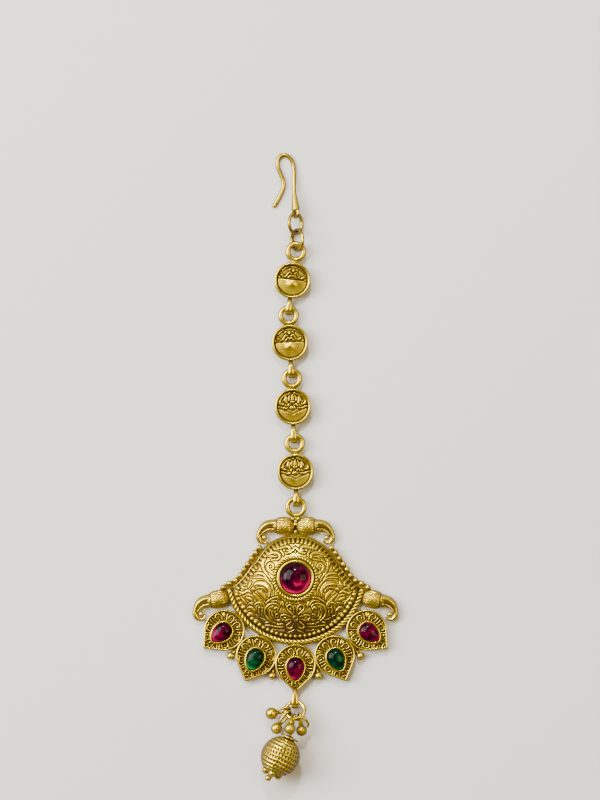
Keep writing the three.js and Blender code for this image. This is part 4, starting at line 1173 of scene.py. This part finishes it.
def beadBody():
    # Rows of dark pits between fine raised hoops, each row shifted by half a pit.
    size = beadSize
    steps, around = 150, 272
    gl, ga = np.meshgrid(np.linspace(-math.pi / 2, math.pi / 2, steps), roundTurn(around), indexing="ij")
    row = (gl / math.pi + 0.5) * size["rows"]
    number = np.floor(row)
    inRow = row - number - 0.5
    holes = size["holes"] * np.cos((number + 0.5) / size["rows"] * math.pi - math.pi / 2)
    holes = np.clip(np.round(holes), 6, None)
    phase = ga / (2 * math.pi) * holes + 0.5 * (number % 2)
    inHole = phase - np.floor(phase) - 0.5
    pit = np.exp(-(np.abs(inRow / 0.22) ** 2.6 + np.abs(inHole / 0.27) ** 3))
    hoop = np.exp(-(((np.abs(inRow) - 0.5) / 0.17) ** 2))
    calm = np.clip(np.cos(gl) * 6 - 1.2, 0, 1)
    lift = (-size["dimple"] * pit + size["hoop"] * hoop) * calm
    out = size["radius"] * np.cos(gl) ** 0.9 + lift * np.cos(gl)
    y = (size["halfLength"] + lift) * np.sin(gl) + size["upBy"]
    points = np.stack([out * np.cos(ga), y, -out * np.sin(ga)], axis=-1).reshape(-1, 3)
    shade = np.clip(0.5 - 0.6 * pit * calm + 0.5 * hoop, 0, 1).ravel()
    return (points, gridFaces(steps, around, poles=(0, steps - 1))), shade


def alongBead(profile, steps):
    # A turned shape whose axis lies along the bead.
    points, faces = lathe(profile, steps)
    return points[:, [0, 2, 1]] * (1, 1, -1), faces


def makeBead():
    size = beadSize
    body, shade = beadBody()
    eye = moved(wireEye(size["eyeHalf"]), size["eye"], math.radians(size["eyeTurn"]))
    stem = sweep(curveThrough(size["stem"], 16), 1.4 * dropSize["pin"], 12)
    parts = [alongBead(capProfile, 64), stem, eye, alongBead(coreProfile, 20)]
    parts.append(ball(size["tip"], (-0.3, -5.5, 0), 26, 16))
    for a in roundTurn(4):
        parts.append(ball(size["granule"], (1.55 * math.cos(a), -4.05, 1.6 * math.sin(a)), 26, 16))
    rest = joined(parts)
    whole = moved(joined([body, rest]), size["centre"], math.radians(size["turn"]))
    addPiece("latticeBead", whole, castGold, ["drop_bead"], relief=np.r_[shade, np.ones(len(rest[0]))])


makeDrops()
makeBead()
print("drop done")


# Floor, light and camera.

setSize = {
    "floor": 3.0, "frameHeight": 0.184, "frameCentre": (1.035, 40.02), "distance": 1.7, "sensor": 24.0,
}
lampTarget = (0, -0.02, 0)
# Name, place, width and height, power, colour.
lamps = [
    ("windowLight", (-0.58, 0.3, 0.82), (0.75, 0.7), 17.0, (1, 0.995, 0.97)),
    ("sideWindow", (-0.9, 0.15, 0.6), (0.6, 0.5), 12.0, (1, 0.995, 0.97)),
    ("skyLight", (0.15, 0.95, 0.65), (0.8, 0.4), 2.0, (1, 0.985, 0.95)),
    ("warmFill", (0.6, 0.05, 0.82), (0.45, 0.6), 4.4, (1, 0.82, 0.32)),
    ("smallLamp", (-0.03, 0.5, 0.62), (0.08, 0.08), 4.0, (1, 0.98, 0.95)),
]


def makeFloor():
    material = bpy.data.materials.new("paleFloor")
    material.use_nodes = True
    shader = material.node_tree.nodes["Principled BSDF"]
    feed(shader, {"Base Color": (0.78, 0.755, 0.73, 1.0), "Roughness": 0.9})
    half = setSize["floor"] / 2
    mesh = bpy.data.meshes.new("floor")
    corners = [(-half, -half, 0), (half, -half, 0), (half, half, 0), (-half, half, 0)]
    mesh.from_pydata(corners, [], [(0, 1, 2, 3)])
    mesh.materials.append(material)
    floor = bpy.data.objects.new("floor", mesh)
    floor.location.z = -0.00002
    bpy.context.scene.collection.objects.link(floor)


def makeLights():
    for name, at, extent, power, colour in lamps:
        light = bpy.data.lights.new(name, "AREA")
        light.shape = "RECTANGLE"
        light.size, light.size_y = extent
        light.energy = power
        light.color = colour
        holder = bpy.data.objects.new(name, light)
        holder.location = at
        away = Vector(lampTarget) - Vector(at)
        holder.rotation_euler = away.to_track_quat("-Z", "Y").to_euler()
        bpy.context.scene.collection.objects.link(holder)
    world = bpy.data.worlds.new("room")
    world.use_nodes = True
    feed(world.node_tree.nodes["Background"], {"Color": (0.9, 0.88, 0.86, 1.0), "Strength": 0.1})
    bpy.context.scene.world = world


def makeCamera():
    size = setSize
    camera = bpy.data.cameras.new("overhead")
    camera.sensor_fit = "VERTICAL"
    camera.sensor_height = size["sensor"]
    camera.lens = size["sensor"] * size["distance"] / size["frameHeight"]
    camera.clip_end = 20
    shot = bpy.data.objects.new("overhead", camera)
    centre = (np.array([*size["frameCentre"], 0]) + circleCentre) * 0.001
    shot.location = (centre[0], centre[1], size["distance"])
    bpy.context.scene.collection.objects.link(shot)
    bpy.context.scene.camera = shot


makeFloor()
makeLights()
makeCamera()
print("set done")
